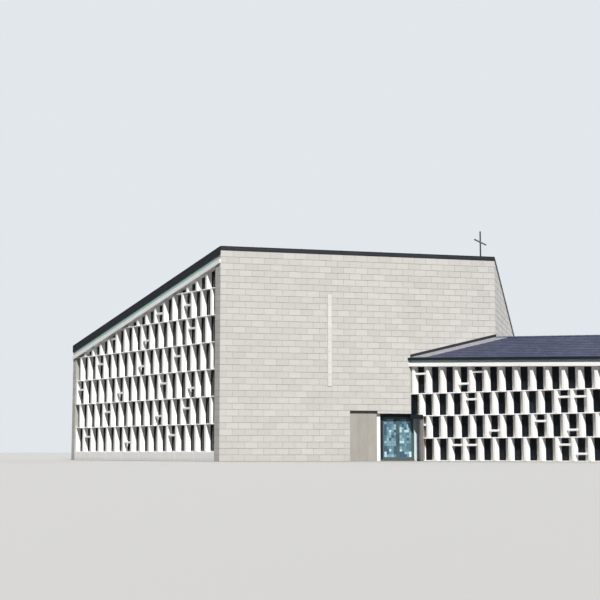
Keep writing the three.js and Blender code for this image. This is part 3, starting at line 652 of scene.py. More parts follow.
def floor_finish():
    """Stone tiles, square and in line, with darker joints."""
    finish = Finish("floor_tile", (0.32, 0.31, 0.29), 0.5)
    finish.blend(finish.noise(6, 6), (0.24, 0.23, 0.215), 0.5)
    tile = finish.node(
        "TexBrick", Scale=1.0, Brick_Width=0.4, Row_Height=0.4, Mortar_Size=0.004, Vector=finish.place
    )
    tile.offset = 0.0
    finish.blend(tile.outputs["Fac"], (0.10, 0.095, 0.09), 0.9)
    finish.bump(tile.outputs["Fac"], -0.002)
    return finish.done()


floor_tile = floor_finish()


def minus(rect, holes):
    """A rectangle less rectangular holes, as rectangles."""
    rest = [rect]
    for h0, h1, v0, v1 in holes:
        left = []
        for a0, a1, b0, b1 in rest:
            if a1 <= h0 or a0 >= h1 or b1 <= v0 or b0 >= v1:
                left.append((a0, a1, b0, b1))
                continue
            c0, c1 = max(a0, h0), min(a1, h1)
            parts = [(a0, h0, b0, b1), (h1, a1, b0, b1), (c0, c1, b0, v0), (c0, c1, v1, b1)]
            left.extend(p for p in parts if p[1] - p[0] > LEAST_BLOCK and p[3] - p[2] > LEAST_BLOCK)
        rest = left
    return rest


def bond(start, end, top, length, height):
    """Rectangles in courses, every second course set half a length back."""
    for course in range(math.ceil(top / height)):
        low = course * height
        place = start - (length / 2 if course % 2 else 0)
        while place < end:
            yield max(place, start), min(place + length, end), low, low + height
            place += length


def shrunk(rect, joint):
    a0, a1, b0, b1 = rect
    half = joint / 2
    return rectangle((a0 + half, a1 - half), (b0 + half, b1 - half))


def lay_blocks(name, face, ends, top, seed, holes=(), lines=()):
    """Masonry on a wall. Each line says which blocks it cuts, a point on it and the side cut away."""
    pieces = Pieces(seed)
    for whole in bond(*ends, top, BLOCK, COURSE):
        for rect in minus(whole, holes):
            outline = shrunk(rect, BLOCK_JOINT)
            for applies, point, normal in lines:
                if applies(rect):
                    outline = clip(outline, point, normal)
            proud = BLOCK_PROUD + BLOCK_UNEVEN * (pieces.chance.random() - 0.5)
            if len(outline) > 2:
                pieces.slab(face, outline, BED, proud, BLOCK_CHAMFER)
    pieces.make(name, masonry, "masonry")


def everywhere(rect):
    return True


# Line of the wing's roof on the nave's front wall, just over the upstand
wing_from = NAVE_HALF + WING_START
wing_line_slope = (WING_SLOPE - WING_FALL) / ROOT2
wing_line_foot = WING_EAVE + WING_ROOF + UPSTAND + 0.005


def add_nave_masonry():
    recess = [
        (NAVE_HALF + PANEL[0], NAVE_HALF + PANEL[1], BELOW, PANEL_TOP),
        (NAVE_HALF + PANEL[1], wing_from + 0.001, BELOW, OPENING_TOP),
        (NAVE_HALF + STRIP[0], NAVE_HALF + STRIP[1], STRIP_FOOT, STRIP_TOP),
        (wing_from, 2 * NAVE_HALF + 1, BELOW, wing_line_foot),
    ]

    def over_wing(rect):
        return rect[1] > wing_from + 0.01 and rect[3] > wing_line_foot

    corner = BLOCK_PROUD * math.tan(math.radians(45) - FLARE_ANGLE / 2)
    lines = [
        (over_wing, (wing_from, wing_line_foot), (wing_line_slope, -1)),
        (everywhere, (0, WALL_TOP - ROOF_GAPS["front"]), (0, 1)),
    ]
    ends = (-corner, 2 * NAVE_HALF + corner)
    lay_blocks("front_wall_blocks", front_face, ends, WALL_TOP, 11, recess, lines)

    # The wing's back slope meets the right wall along a falling line
    along = right_face.along
    step_s = (along.x - along.y) / ROOT2
    step_n = (along.x + along.y) / ROOT2
    reach = WING_RIDGE / step_n + WING_OVERHANG
    line_fall = -(WING_FALL * step_s + WING_SLOPE * step_n)
    ridge_line = WING_EAVE + (WING_SLOPE - WING_FALL) * WING_RIDGE + WING_ROOF + 0.05
    foot = ridge_line + line_fall * reach

    def over_back_slope(rect):
        return rect[0] < reach - 0.01 and rect[3] > foot

    side_top = WALL_TOP - ROOF_GAPS["sides"]
    lines = [
        (over_back_slope, (0, ridge_line), (line_fall, -1)),
        (everywhere, (0, side_top), (SIDE_FALL, 1)),
    ]
    ends = (-corner, SIDE_LENGTH + BLOCK_PROUD)
    lay_blocks("right_wall_blocks", right_face, ends, WALL_TOP, 12, [(BELOW, reach, BELOW, foot)], lines)

    back_top = WALL_TOP - ROOF_FALL * NAVE_DEPTH - ROOF_GAPS["back"]
    ends = (-BLOCK_PROUD, 2 * BACK_HALF + BLOCK_PROUD)
    level = [(everywhere, (0, back_top), (0, 1))]
    lay_blocks("back_wall_blocks", back_face, ends, back_top, 13, lines=level)

    under_roof = [(everywhere, (SIDE_LENGTH, side_top), (-SIDE_FALL, 1))]
    ends = (SIDE_LENGTH - MASONRY * SLANT, SIDE_LENGTH + corner)
    lay_blocks("left_wall_front_end_blocks", left_face, ends, WALL_TOP, 14, lines=under_roof)
    ends = (-BLOCK_PROUD, SIDE_WALL * SLANT)
    lay_blocks("left_wall_back_end_blocks", left_face, ends, WALL_TOP, 15, lines=under_roof)


def add_wing_end_masonry():
    eave = WING_EAVE - WING_FALL * WING_LENGTH - 0.004
    slopes = [
        (everywhere, (0, eave), (-WING_SLOPE, 1)),
        (everywhere, (WING_DEPTH, eave), (WING_SLOPE, 1)),
    ]
    ends = (-BLOCK_PROUD / 2, WING_DEPTH + BLOCK_PROUD / 2)
    peak = eave + WING_SLOPE * WING_RIDGE
    lay_blocks("wing_end_wall_blocks", wing_end, ends, peak, 16, lines=slopes)


def add_wall_strip():
    pieces = Pieces(21)
    left, right = NAVE_HALF + STRIP[0], NAVE_HALF + STRIP[1]
    height = (STRIP_TOP - STRIP_FOOT) / STRIP_STONES
    for i in range(STRIP_STONES):
        rect = (left, right, STRIP_FOOT + i * height, STRIP_FOOT + (i + 1) * height)
        pieces.slab(front_face, shrunk(rect, STRIP_JOINT), BED, STRIP_PROUD, STRIP_CHAMFER)
    pieces.make("wall_strip_stones", strip_stone, "masonry", replaces=["wall_strip"])


class Lattice:
    """A wall of precast units on a face, with the frames and panes of the windows behind them."""

    def __init__(self, face, end, module, seed):
        self.face, self.end, self.module = face, end, module
        self.units, self.frames, self.panes = Pieces(seed), Pieces(seed + 1), Pieces(seed + 2)

    def add_row(self, first, foot, top, bars, cuts):
        """A plate and a splayed upright for each unit, from one before the first on, and short bars."""
        face, module, half_joint = self.face, self.module, UNIT_JOINT / 2
        low = foot + PLATE
        place = first - module
        while place < self.end + module:
            tone = self.units.chance.random()
            plate = (place + half_joint, place + module - half_joint)
            self.units.box(face, plate, (foot + half_joint, low), (0, LATTICE_DEPTH), ARRIS, cuts, tone)
            left = place + BACK_RIGHT_SHARE * module
            right = place + module + BACK_LEFT_SHARE * module
            plan = [
                (place, 0),
                (place + STRIP_SHARE * module, 0),
                (left, LATTICE_DEPTH),
                (place + BACK_LEFT_SHARE * module, LATTICE_DEPTH),
            ]
            self.units.upright(face, plan, foot + PLATE / 2, top - half_joint, ARRIS, cuts, tone)
            self.add_window(left, right, low, top, cuts)
            place += module
        depth = (BAR_SETBACK, BAR_SETBACK + BAR_DEPTH)
        for cell, level in bars:
            place = first + cell * module + STRIP_SHARE * module / 2
            middle = low + level * (top - foot - PLATE)
            up = (middle - BAR_HEIGHT / 2, middle + BAR_HEIGHT / 2)
            self.units.box(face, (place, place + module), up, depth, ARRIS, cuts)

    def add_window(self, left, right, low, top, cuts):
        """Two stiles, two rails and a pane that stands slightly out of line."""
        for along, up, depth in [
            ((left - SASH_HALF, left + SASH_HALF), (low, top), STILE_DEPTH),
            ((right - SASH_HALF, right + SASH_HALF), (low, top), STILE_DEPTH),
            ((left, right), (low, low + SASH_RAIL), RAIL_DEPTH),
            ((left, right), (top - SASH_RAIL, top), RAIL_DEPTH),
        ]:
            self.frames.box(self.face, along, up, depth, SASH_CHAMFER, cuts)
        tilt = [PANE_TILT * self.panes.chance.random() for _ in range(4)]
        plan = rectangle((left, right), PANE_DEPTH)
        lower = [self.face.at(a, low, -d - tilt[a == right]) for a, d in plan]
        upper = [self.face.at(a, top, -d - tilt[2 + (a == right)]) for a, d in plan]
        self.panes.solid(lower, upper, 0, cuts)

    def make_windows(self, name):
        self.frames.make(f"{name}_window_frames", window_frame, "dark_glazing")
        self.panes.make(f"{name}_window_panes", glazing, "dark_glazing")


# Short bars of each row, as (cell, share of the cell's height)
SIDE_BARS = [
    [(2, 0.62), (7, 0.36), (12, 0.62)],
    [(4, 0.62), (10, 0.36), (13, 0.62)],
    [(1, 0.62), (6, 0.36), (11, 0.62), (14, 0.36)],
    [(3, 0.62), (8, 0.36), (12, 0.62)],
    [(5, 0.62), (9, 0.36), (14, 0.62)],
    [(10, 0.36), (13, 0.52)],
    [(14, 0.45)],
]
FRONT_BARS = [
    [(2, 0.7), (3, 0.7), (9, 0.7), (10, 0.3), (13, 0.7)],
    [(0, 0.6), (5, 0.3), (8, 0.7), (10, 0.3), (14, 0.3)],
    [(3, 0.7), (9, 0.7), (10, 0.7), (14, 0.3)],
    [(0, 0.72), (3, 0.3), (4, 0.72), (13, 0.3)],
]
BACK_BARS = [
    [(2, 0.7), (7, 0.3)],
    [(4, 0.3), (10, 0.7)],
    [(1, 0.7), (8, 0.7)],
    [(5, 0.72), (11, 0.3)],
]


def add_side_lattice():
    start, last = SIDE_SPAN
    module = (last - start) / SIDE_CELLS
    wall = Lattice(left_face, SIDE_LENGTH, module, 31)
    cuts = [
        ((0, BACK - SIDE_WALL - 2 * GAP, 0), (0, 1, 0)),
        ((0, FRONT + MASONRY + 2 * GAP, 0), (0, -1, 0)),
        ((0, FRONT, WALL_TOP - SIDE_BAND - GAP), (0, ROOF_FALL, 1)),
    ]
    for row, bars in enumerate(SIDE_BARS):
        foot = SIDE_PLINTH + row * SIDE_PITCH
        first = last - module * (SIDE_CELLS + 1 - (row % 2) / 2)
        wall.add_row(first, foot, foot + SIDE_PITCH, bars, cuts)
    wall.units.make("left_wall_units", concrete, "white_concrete", replaces=["left_wall_lattice"])
    wall.make_windows("left_wall")


def wing_rows(rows, first_strip):
    """What add_row needs of each row of a wing wall but its cuts: where it starts, foot, top and bars."""
    for row, bars in enumerate(rows):
        foot = row * WING_PITCH
        top = WING_TOP_ROW if row == len(rows) - 1 else foot + WING_PITCH
        yield first_strip + (0 if row % 2 else WING_MODULE / 2), foot, top, bars


wing_band_normal = Vector((WING_FALL / ROOT2, -WING_FALL / ROOT2, 1))
under_wing_band = (wing_front.at(0, WING_TOP_ROW - GAP), wing_band_normal)


def add_wing_front_lattice():
    """Four rows, the lower two ending at the entrance post and the upper two at the nave's wall."""
    last = WING_LENGTH - WING_WALL - GAP
    wall = Lattice(wing_front, last, WING_MODULE, 41)
    at_corner_pane = ((0, FRONT - CORNER_PANE_OUT, 0), (0, 1, 0))
    at_end = (wing_front.at(last, 0), wing_front.along)
    at_post = (wing_front.at(POST[1] + GAP, 0), -wing_front.along)
    for row, (first, foot, top, bars) in enumerate(wing_rows(FRONT_BARS, WING_FIRST_STRIP)):
        wall.units = Pieces(44 + row)
        side = at_corner_pane if row == CORNER_ROW else at_front_wall
        cuts = [side, at_end, under_wing_band if row >= CORNER_ROW else at_post]
        wall.add_row(first, foot, top, bars, cuts)
        if row == CORNER_ROW:
            for plan in (CORNER_PLATE, CORNER_SILL):
                wall.units.upright(wing_front, plan, foot, foot + PLATE)
        name = f"wing_front_row_{row + 1}"
        wall.units.make(f"{name}_units", concrete, "white_concrete", replaces=[name])
    wall.make_windows("wing_front")


def add_wing_back_lattice():
    wall = Lattice(wing_back, WING_LENGTH, WING_MODULE, 51)
    at_end = (wing_back.at(WING_WALL + GAP, 0), -wing_back.along)
    for row in wing_rows(BACK_BARS, WING_WALL + WING_FIRST_STRIP):
        wall.add_row(*row, [at_end, at_right_wall, under_wing_band])
    wall.units.make("wing_back_units", concrete, "white_concrete", replaces=["wing_back_lattice"])
    wall.make_windows("wing_back")


def add_band(pieces, face, area, length, proud, joint=0.008, chamfer=0.004, lines=()):
    """Row of facing panels with joints between them, over an area from start to end and foot to top."""
    start, end, foot, top = area
    count = max(1, round((end - start) / length))
    step = (end - start) / count
    for i in range(count):
        outline = shrunk((start + i * step, start + (i + 1) * step, foot, top), joint)
        for point, normal in lines:
            outline = clip(outline, point, normal)
        pieces.slab(face, outline, BED, proud, chamfer)


def add_side_bands():
    """Plinth and beam panels of the left wall, boards over the beam, and dark sheets hung as a deep roof
    edge that paint the shadow of the roof's overhang.
    """
    pieces, boards, sheets = Pieces(61), Pieces(64), Pieces(65)

    def between(low, high):
        """Lines that keep what lies between two depths under the top of the wall."""
        return [
            ((SIDE_LENGTH, WALL_TOP - high), (-SIDE_FALL, 1)),
            ((SIDE_LENGTH, WALL_TOP - low), (SIDE_FALL, -1)),
        ]

    beam_top = SIDE_BAND - SIDE_BEAM
    beam_face = Face(left_face.at(0, 0, SIDE_BEAM_PROUD), left_face.along)
    shadow_apron_face = Face(left_face.at(0, 0, ROOF_OVERHANG), left_face.along)
    whole, shadow_sheet_area = (0, SIDE_LENGTH, 0, WALL_TOP), (0, SIDE_LENGTH, 0, WALL_TOP + 0.1)
    board = (*SIDE_SPAN, 0, WALL_TOP)
    add_band(pieces, left_face, (*SIDE_SPAN, 0, SIDE_PLINTH), SIDE_PANEL, 0.008)
    add_band(pieces, beam_face, whole, SIDE_PANEL, 0.008, lines=between(SIDE_BAND, beam_top))
    add_band(boards, left_face, board, SIDE_PANEL, 0.01, lines=between(beam_top, SHADOW_APRON_DEPTH))
    # Dark sheets under the roof's edge, hung as a deep edge and standing in for the shadow that the
    # overhang casts
    add_band(sheets, shadow_apron_face, shadow_sheet_area, CAP_LENGTH, 0.004, lines=between(SHADOW_APRON_DEPTH, -0.08))
    pieces.make("left_wall_panels", concrete, "white_concrete")
    boards.make("left_wall_fascia_boards", fascia, "fascia")
    sheets.make("painted_shadow_sheets", roof_edge, "roof_edge_metal")


def back_meet(n):
    """How far along the wing the nave's right wall is met, at a depth n in behind the wing's front."""
    return (n * (FLARE - 1) + (NAVE_HALF - WING_START) * ROOT2) / (1 + FLARE)


def add_wing_bands():
    beams, boards = Pieces(62), Pieces(63)
    drop = WING_FALL * ROOT2
    front = Face(wing_front.at(0, WING_TOP_ROW), (1, -1, -drop))
    back = Face(wing_back.at(0, WING_TOP_ROW - WING_FALL * WING_LENGTH), (-1, 1, drop))
    back_end = WING_LENGTH - back_meet(WING_DEPTH)
    for face, beam_ends, board_ends in [
        (front, (0.002 - WING_BEAM_PROUD, WING_LENGTH), (0.002, WING_LENGTH - WING_WALL)),
        (back, (0.0, back_end), (WING_WALL, back_end)),
    ]:
        outer = Face(face.at(0, 0, WING_BEAM_PROUD), face.along, face.up)
        board = (*board_ends, WING_BEAM, WING_BEAM + WING_FASCIA - 0.002)
        add_band(beams, outer, (*beam_ends, 0.004, WING_BEAM), 2 * WING_MODULE, 0.008)
        add_band(boards, face, board, 3 * WING_MODULE, 0.010)
    beams.make("wing_beam_panels", concrete, "white_concrete")
    boards.make("wing_fascia_boards", fascia, "fascia")


def lay_slates(name, face, area, finish, slot, seed, length=0.3, exposure=0.28):
    """Slates over a convex area of a roof slope, each course lapping the one below."""
    pieces = Pieces(seed)
    along, up = zip(*area)
    lowest = min(up)
    for a0, a1, b0, b1 in bond(min(along), max(along), max(up) - lowest, length, exposure):
        b0, b1 = b0 + lowest, b1 + lowest + SLATE_LAP
        outline = rectangle((a0 + SLATE_GAP, a1 - SLATE_GAP), (b0, b1))
        for i, (x, y) in enumerate(area):
            u, v = area[(i + 1) % len(area)]
            outline = clip(outline, (x, y), (v - y, x - u))
        rise = SLATE_LIFT + SLATE_UNEVEN * pieces.chance.random()
        if len(outline) > 2:
            pieces.slab(face, outline, BED, lambda a, b: rise - SLATE_TILT * (b - b0), SLATE_CHAMFER)
    pieces.make(name, finish, slot)


def on_face(face, point):
    rel = Vector(point) - face.corner
    return rel.dot(face.along), rel.dot(face.up)


def wing_point(s, n, z):
    """s runs along the wing from the nave's front wall, n in behind the wing's front."""
    return wing_front.at(s, z, -n)


def wing_roof_height(s, depth):
    """Top of the wing's roof slab at a depth in from its own eave."""
    return WING_EAVE - WING_FALL * s + WING_SLOPE * depth + WING_ROOF


def roof_face(start, side, inward):
    """Face of a roof slope from three points: start, one further right along the eave, one up the slope."""
    return Face(start, side - start, inward - start)


def add_wing_slates():
    right = WING_LENGTH + WING_OVERHANG
    sheets = 2 * GAP + UPSTAND_WIDTH * ROOT2 + 4 * GAP + FLASHING_WIDTH * ROOT2

    def on_front(s, n):
        return wing_point(s, n, wing_roof_height(s, n))

    def on_back(s, n):
        return wing_point(s, n, wing_roof_height(s, WING_DEPTH - n))

    slope = roof_face(on_front(0, 0), on_front(right, 0), on_front(0, WING_RIDGE))
    corners = [
        (sheets - SLATE_LIP, -SLATE_LIP),
        (right, -SLATE_LIP),
        (right, WING_RIDGE),
        (sheets + WING_RIDGE, WING_RIDGE),
    ]
    area = [on_face(slope, on_front(s, n)) for s, n in corners]
    lay_slates("wing_roof_front_slates", slope, area, wing_slate, "wing_roofing", 71)

    slope = roof_face(on_back(right, WING_DEPTH), on_back(0, WING_DEPTH), on_back(right, WING_RIDGE))
    eave = WING_DEPTH + SLATE_LIP
    corners = [
        (right, eave),
        (back_meet(eave) + WING_BACK_START, eave),
        (back_meet(WING_RIDGE) + WING_BACK_START, WING_RIDGE),
        (right, WING_RIDGE),
    ]
    area = [on_face(slope, on_back(s, n)) for s, n in corners]
    lay_slates("wing_roof_back_slates", slope, area, wing_slate, "wing_roofing", 72)


def nave_roof_point(x, y, rise):
    """y is measured from the front wall, rise from the underside of the roof."""
    return Vector((x, FRONT + y, WALL_TOP - ROOF_FALL * y + rise))


def nave_roof_ring(offset):
    """The nave's plan moved in by an offset, from the front left corner to the right and round."""
    front, back = offset, NAVE_DEPTH - offset
    side = offset * SLANT
    return [
        (-NAVE_HALF - FLARE * front + side, front),
        (NAVE_HALF + FLARE * front - side, front),
        (NAVE_HALF + FLARE * back - side, back),
        (-NAVE_HALF - FLARE * back + side, back),
    ]


def add_nave_slates():
    slope = roof_face(
        nave_roof_point(BACK_HALF, NAVE_DEPTH, ROOF_DECK),
        nave_roof_point(-BACK_HALF, NAVE_DEPTH, ROOF_DECK),
        nave_roof_point(BACK_HALF, 0, ROOF_DECK),
    )
    ring = nave_roof_ring(ROOF_EDGE_WIDTH - ROOF_OVERHANG + 0.004)
    area = [on_face(slope, nave_roof_point(x, y, ROOF_DECK)) for x, y in ring[2:] + ring[:2]]
    lay_slates("nave_roof_slates", slope, area, nave_slate, "nave_roofing", 73, 0.4, 0.3)


def add_roof_caps():
    """Cap sheets over the nave's roof edge, two metres each, with a cover strip over each joint."""
    pieces = Pieces(81)
    outer = nave_roof_ring(-ROOF_OVERHANG - CAP_LIP)
    inner = nave_roof_ring(ROOF_EDGE_WIDTH - ROOF_OVERHANG + CAP_LIP)

    def cap(side, share0, share1, low, high, grow):
        """Box over one side of the edge between two shares of its length, grown about its middle."""
        plan = []
        for ring, share in [(outer, share0), (outer, share1), (inner, share1), (inner, share0)]:
            p, q = ring[side], ring[(side + 1) % 4]
            plan.append((p[0] + share * (q[0] - p[0]), p[1] + share * (q[1] - p[1])))
        middle = [sum(p[i] for p in plan) / 4 for i in range(2)]
        plan = [(x + grow * (x - middle[0]), y + grow * (y - middle[1])) for x, y in plan]
        rings = [[nave_roof_point(x, y, ROOF_EDGE + rise) for x, y in plan] for rise in (low, high)]
        pieces.solid(*rings, METAL_CHAMFER)

    for side in range(4):
        length = math.dist(outer[side], outer[(side + 1) % 4])
        count = round(length / CAP_LENGTH)
        half = CAP_COVER_HALF / length
        for i in range(count):
            cap(side, i / count + CAP_GAP, (i + 1) / count - CAP_GAP, -0.012, 0.012, 0)
            if i:
                cap(side, i / count - half, i / count + half, -0.03, 0.016, 0.02)
    pieces.make("roof_edge_caps", roof_edge, "roof_edge_metal")


def add_gutter(name, face, start, end, cut):
    """Box gutter below an eave: floor, two sides, a rolled front rim, and straps across the top."""
    pieces = Pieces(91)
    cuts = [cut]
    width, height = WING_OVERHANG, WING_ROOF - 0.02
    across = (-width, -GAP)
    pieces.box(face, (start, end), (0, SHEET), across, 0, cuts)
    pieces.box(face, (start, end), (0, height), (-width, -width + SHEET), 0, cuts)
    pieces.box(face, (start, end), (0, height + 0.015), (-SHEET, -GAP), 0, cuts)
    turns = [2 * math.pi * i / 12 for i in range(12)]
    ring = [(-width + RIM * math.cos(t), height + RIM * math.sin(t)) for t in turns]
    pieces.solid([face.at(start, b, -d) for d, b in ring], [face.at(end, b, -d) for d, b in ring], 0, cuts)
    place = start + STRAP_START
    while place < end:
        strap = (place, place + STRAP)
        pieces.box(face, strap, (height - 0.004, height + 0.002), across, 0.001, cuts)
        pieces.box(face, strap, (-0.004, height), (-width - 0.004, -width), 0.001, cuts)
        place += STRAP_PITCH
    pieces.box(face, (end - SHEET, end), (0, height), across, 0.001, cuts)
    pieces.make(f"{name}_trough", roof_edge, "roof_edge_metal", replaces=[name])


def add_gutters():
    drop = WING_FALL * ROOT2
    stretch = math.hypot(1, WING_FALL)
    right = WING_LENGTH + WING_OVERHANG
    front = Face(wing_front.at(0, WING_EAVE), (1, -1, -drop))
    add_gutter("wing_front_gutter", front, -0.2, right * stretch, at_front_wall)
    back = Face(wing_back.at(-WING_OVERHANG, WING_EAVE - WING_FALL * right), (-1, 1, drop))
    length = (right - back_meet(WING_DEPTH + WING_OVERHANG) + 0.2) * stretch
    add_gutter("wing_back_gutter", back, 0, length, at_right_wall)


def add_ridge_and_verges():
    """Ridge caps over the wing's ridge, and sheet trims down its end."""
    pieces = Pieces(95)
    right = WING_LENGTH + WING_OVERHANG
    start = WING_RIDGE + 0.03
    count = round((right - start) / RIDGE_CAP)
    step = (right - start) / count
    wide, fall = RIDGE_CAP_HALF, -WING_SLOPE * RIDGE_CAP_HALF
    at_nave = (right_face.at(0, 0, WING_BACK_START), -right_face.out)
    for i in range(count):
        rings = []
        for s, rise in [
            (start + (i + 1) * step, RIDGE_CAP_RISE),
            (start + i * step - 0.02, RIDGE_CAP_RISE - 0.006),
        ]:
            half = [(wide, fall + rise), (wide, fall + rise + 0.012), (0.02, rise + 0.014)]
            profile = [(-n, z) for n, z in half] + half[::-1]
            peak = wing_roof_height(s, WING_RIDGE)
            rings.append([wing_point(s, WING_RIDGE + n, peak + z) for n, z in profile])
        pieces.solid(*rings, 0.002, [at_nave])
    pieces.make("wing_ridge_caps", wing_slate, "wing_roofing")

    trims = Pieces(96)
    foot, peak = wing_roof_height(right, -WING_OVERHANG), wing_roof_height(right, WING_RIDGE)
    for eave in (-WING_OVERHANG, WING_DEPTH + WING_OVERHANG):
        for back, low, high in [(0.002, -0.2, 0.035), (0.06, 0.026, 0.038)]:
            outline = [
                (eave, foot + low),
                (WING_RIDGE, peak + low),
                (WING_RIDGE, peak + high),
                (eave, foot + high),
            ]
            rings = [[wing_point(s, n, z) for n, z in outline] for s in (right - back, right + 0.006)]
            trims.solid(*rings, 0.001)
    trims.make("wing_verge_trims", roof_edge, "roof_edge_metal")


def add_dressed(name, plan, top, finish, slot):
    """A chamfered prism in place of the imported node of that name."""
    piece = Pieces(102)
    rings = [[Vector((x, y, z)) for x, y in plan] for z in (0, top)]
    piece.solid(*rings, TRIM_CHAMFER, tone=0.5)
    piece.make(f"{name}_dressed", finish, slot, replaces=[name])


def add_entrance():
    niche = Face((PANEL[0], FRONT + NICHE, 0), (1, 0, 0))
    boards = Pieces(101)
    width = PANEL[1] - PANEL[0] - GAP
    add_band(boards, niche, (0, width, 0.004, PANEL_TOP - 0.004), width / 3, 0.009, 0.006, 0.003)
    boards.make("entrance_panel_sheets", panel, "entrance_panel")

    depth = (FRONT + NICHE, FRONT + MASONRY)
    plan = rectangle((PANEL[1], PIER_RIGHT), depth)
    add_dressed("entrance_white_pier", plan, OPENING_TOP - GAP, concrete, "white_concrete")
    plan = rectangle((DOOR_RIGHT, ENTRANCE_RIGHT - GAP), depth)
    add_dressed("entrance_jamb", plan, DOOR_HEAD - GAP, jamb, "grey_green_jamb")
    plan = [wing_point(s, n, 0).xy for s, n in rectangle(POST, (0, POST_DEPTH))]
    add_dressed("entrance_post", plan, 2 * WING_PITCH - GAP, post, "grey_green_jamb")


def mosaic_cells(chance, columns, rows):
    """A grid of cells with some joined in twos and fours, as (column, row, wide, high)."""
    taken = set()
    for row in range(rows):
        for column in range(columns):
            if (column, row) in taken:
                continue
            wide, high = chance.choice([(1, 1)] * 6 + [(2, 1), (1, 2), (2, 2)])
            span = [(column + i, row + j) for i in range(wide) for j in range(high)]
            if any(c >= columns or r >= rows or (c, r) in taken for c, r in span):
                wide, high, span = 1, 1, [(column, row)]
            taken.update(span)
            yield column, row, wide, high


def four_bars(along, up, stile, rail, between):
    """Two stiles and two rails as ranges along and up. The rails span between."""
    (a0, a1), (b0, b1) = along, up
    stiles = [((a0, a0 + stile), up), ((a1 - stile, a1), up)]
    return [*stiles, (between, (b0, b0 + rail)), (between, (b1 - rail, b1))]


def add_doors():
    """Leaves with chamfered stiles and rails, beads, a mosaic of coloured glass, and round pulls."""
    middle = LEAF_THICKNESS / 2
    for side, (x0, x1) in LEAF_EDGES.items():
        body = f"door_{side}"
        face = Face((x0, FRONT + DOOR_SETBACK, 0), (1, 0, 0))
        back = Face(face.at(0, 0, -LEAF_THICKNESS), (-1, 0, 0))
        width = x1 - x0
        a0, a1 = LEAF_STILE, width - LEAF_STILE
        b0, b1 = LEAF_BOTTOM + LEAF_RAIL, LEAF_TOP - LEAF_RAIL
        metal = Pieces(111)
        rails = (a0 - METAL_CHAMFER, a1 + METAL_CHAMFER)
        for bar in four_bars((0, width), (LEAF_BOTTOM, LEAF_TOP), LEAF_STILE, LEAF_RAIL, rails):
            metal.box(face, *bar, (0, LEAF_THICKNESS), METAL_CHAMFER)
        for depth in BEAD_DEPTHS:
            for bar in four_bars((a0, a1), (b0, b1), BEAD, BEAD, (a0, a1)):
                metal.box(face, *bar, depth, BEAD_CHAMFER)
        grip = width - GRIP_INSET if side == "left" else GRIP_INSET
        low, high = GRIP_ENDS
        metal.rod(face.at(grip, low, GRIP_OUT), face.at(grip, high, GRIP_OUT), 0.011)
        for height in GRIP_MOUNTS:
            foot = face.at(grip, height, -0.002)
            metal.rod(foot, face.at(grip, height, GRIP_OUT), 0.008)
            metal.rod(foot, face.at(grip, height, 0.004), 0.018)
        metal.make(f"door_{side}_leaf", door_leaf, "door_leaf_metal", body, [f"door_{side}_frame"])

        tiles = Pieces(MOSAIC_SEEDS[side])
        cell = ((a1 - a0 - 2 * BEAD) / MOSAIC_COLUMNS, (b1 - b0 - 2 * BEAD) / MOSAIC_ROWS)
        top = -middle + GLASS_HALF + MOSAIC_PROUD
        for column, row, wide, high in mosaic_cells(tiles.chance, MOSAIC_COLUMNS, MOSAIC_ROWS):
            left, low = a0 + BEAD + column * cell[0], b0 + BEAD + row * cell[1]
            right, high = left + wide * cell[0], low + high * cell[1]
            tone = tiles.chance.random()
            for pane, rect in [(face, (left, right, low, high)), (back, (-right, -left, low, high))]:
                tiles.slab(pane, shrunk(rect, MOSAIC_JOINT), -middle, top, MOSAIC_CHAMFER, tone)
        tiles.make(f"door_{side}_mosaic", mosaic, "door_glass", body)


def add_cross_details():
    """Bolts on the base plate of the roof cross, and a collar round its post."""
    pieces = Pieces(121)
    normal = Vector((0, ROOF_FALL, 1)).normalized()

    def base(dx, dy, rise):
        x = CROSS_PLACE[0] + dx * math.cos(CROSS_TURN) - dy * math.sin(CROSS_TURN)
        y = CROSS_PLACE[1] + dx * math.sin(CROSS_TURN) + dy * math.cos(CROSS_TURN)
        return nave_roof_point(x, y, ROOF_DECK + rise)

    for dx in (-CROSS_BOLT, CROSS_BOLT):
        for dy in (-CROSS_BOLT, CROSS_BOLT):
            foot = base(dx, dy, 0.015)
            for height, radius, sides in [(0.010, 0.018, 16), (0.026, 0.012, 6), (0.036, 0.007, 10)]:
                pieces.rod(foot, foot + height * normal, radius, sides)
    half = (-CROSS_HALF, CROSS_HALF)
    rings = [[base(x, y, rise) for x, y in rectangle(half, half)] for rise in (0.018, 0.045)]
    pieces.solid(*rings, 0.004)
    pieces.make("roof_cross_fixings", cross_steel, "cross_steel")


def dress_nodes():
    """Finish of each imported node, by the longest of these starts that its name has."""
    finishes = {
        mortar: "front_wall right_wall back_wall panel_backing_wall wing_end_wall",
        strip_stone: "wall_strip",
        concrete: "left_wall wing_front wing_back entrance_white_pier",
        fascia: "left_wall_top_band wing_front_fascia wing_back_fascia",
        glazing: "left_wall_glass wing_front_glass wing_back_glass",
        roof_edge: "wing_front_gutter wing_back_gutter wing_roof_upstand roof_edge",
        flashing: "wing_roof_flashing",
        underlay: "wing_roof nave_roof",
        floor_tile: "wing_floor nave_floor",
        cross_steel: "roof_cross",
        panel: "entrance_panel",
        jamb: "entrance_jamb entrance_side_wall",
        post: "entrance_post",
        door_metal: "entrance_head door_frame",
        door_leaf: "door_left_frame door_right_frame",
        door_backing: "door_left_glass door_right_glass",
    }
    starts = {start: finish for finish, names in finishes.items() for start in names.split()}
    for name, node in nodes.items():
        key = max((k for k in starts if name.startswith(k)), key=len)
        node.data.materials.clear()
        node.data.materials.append(starts[key])


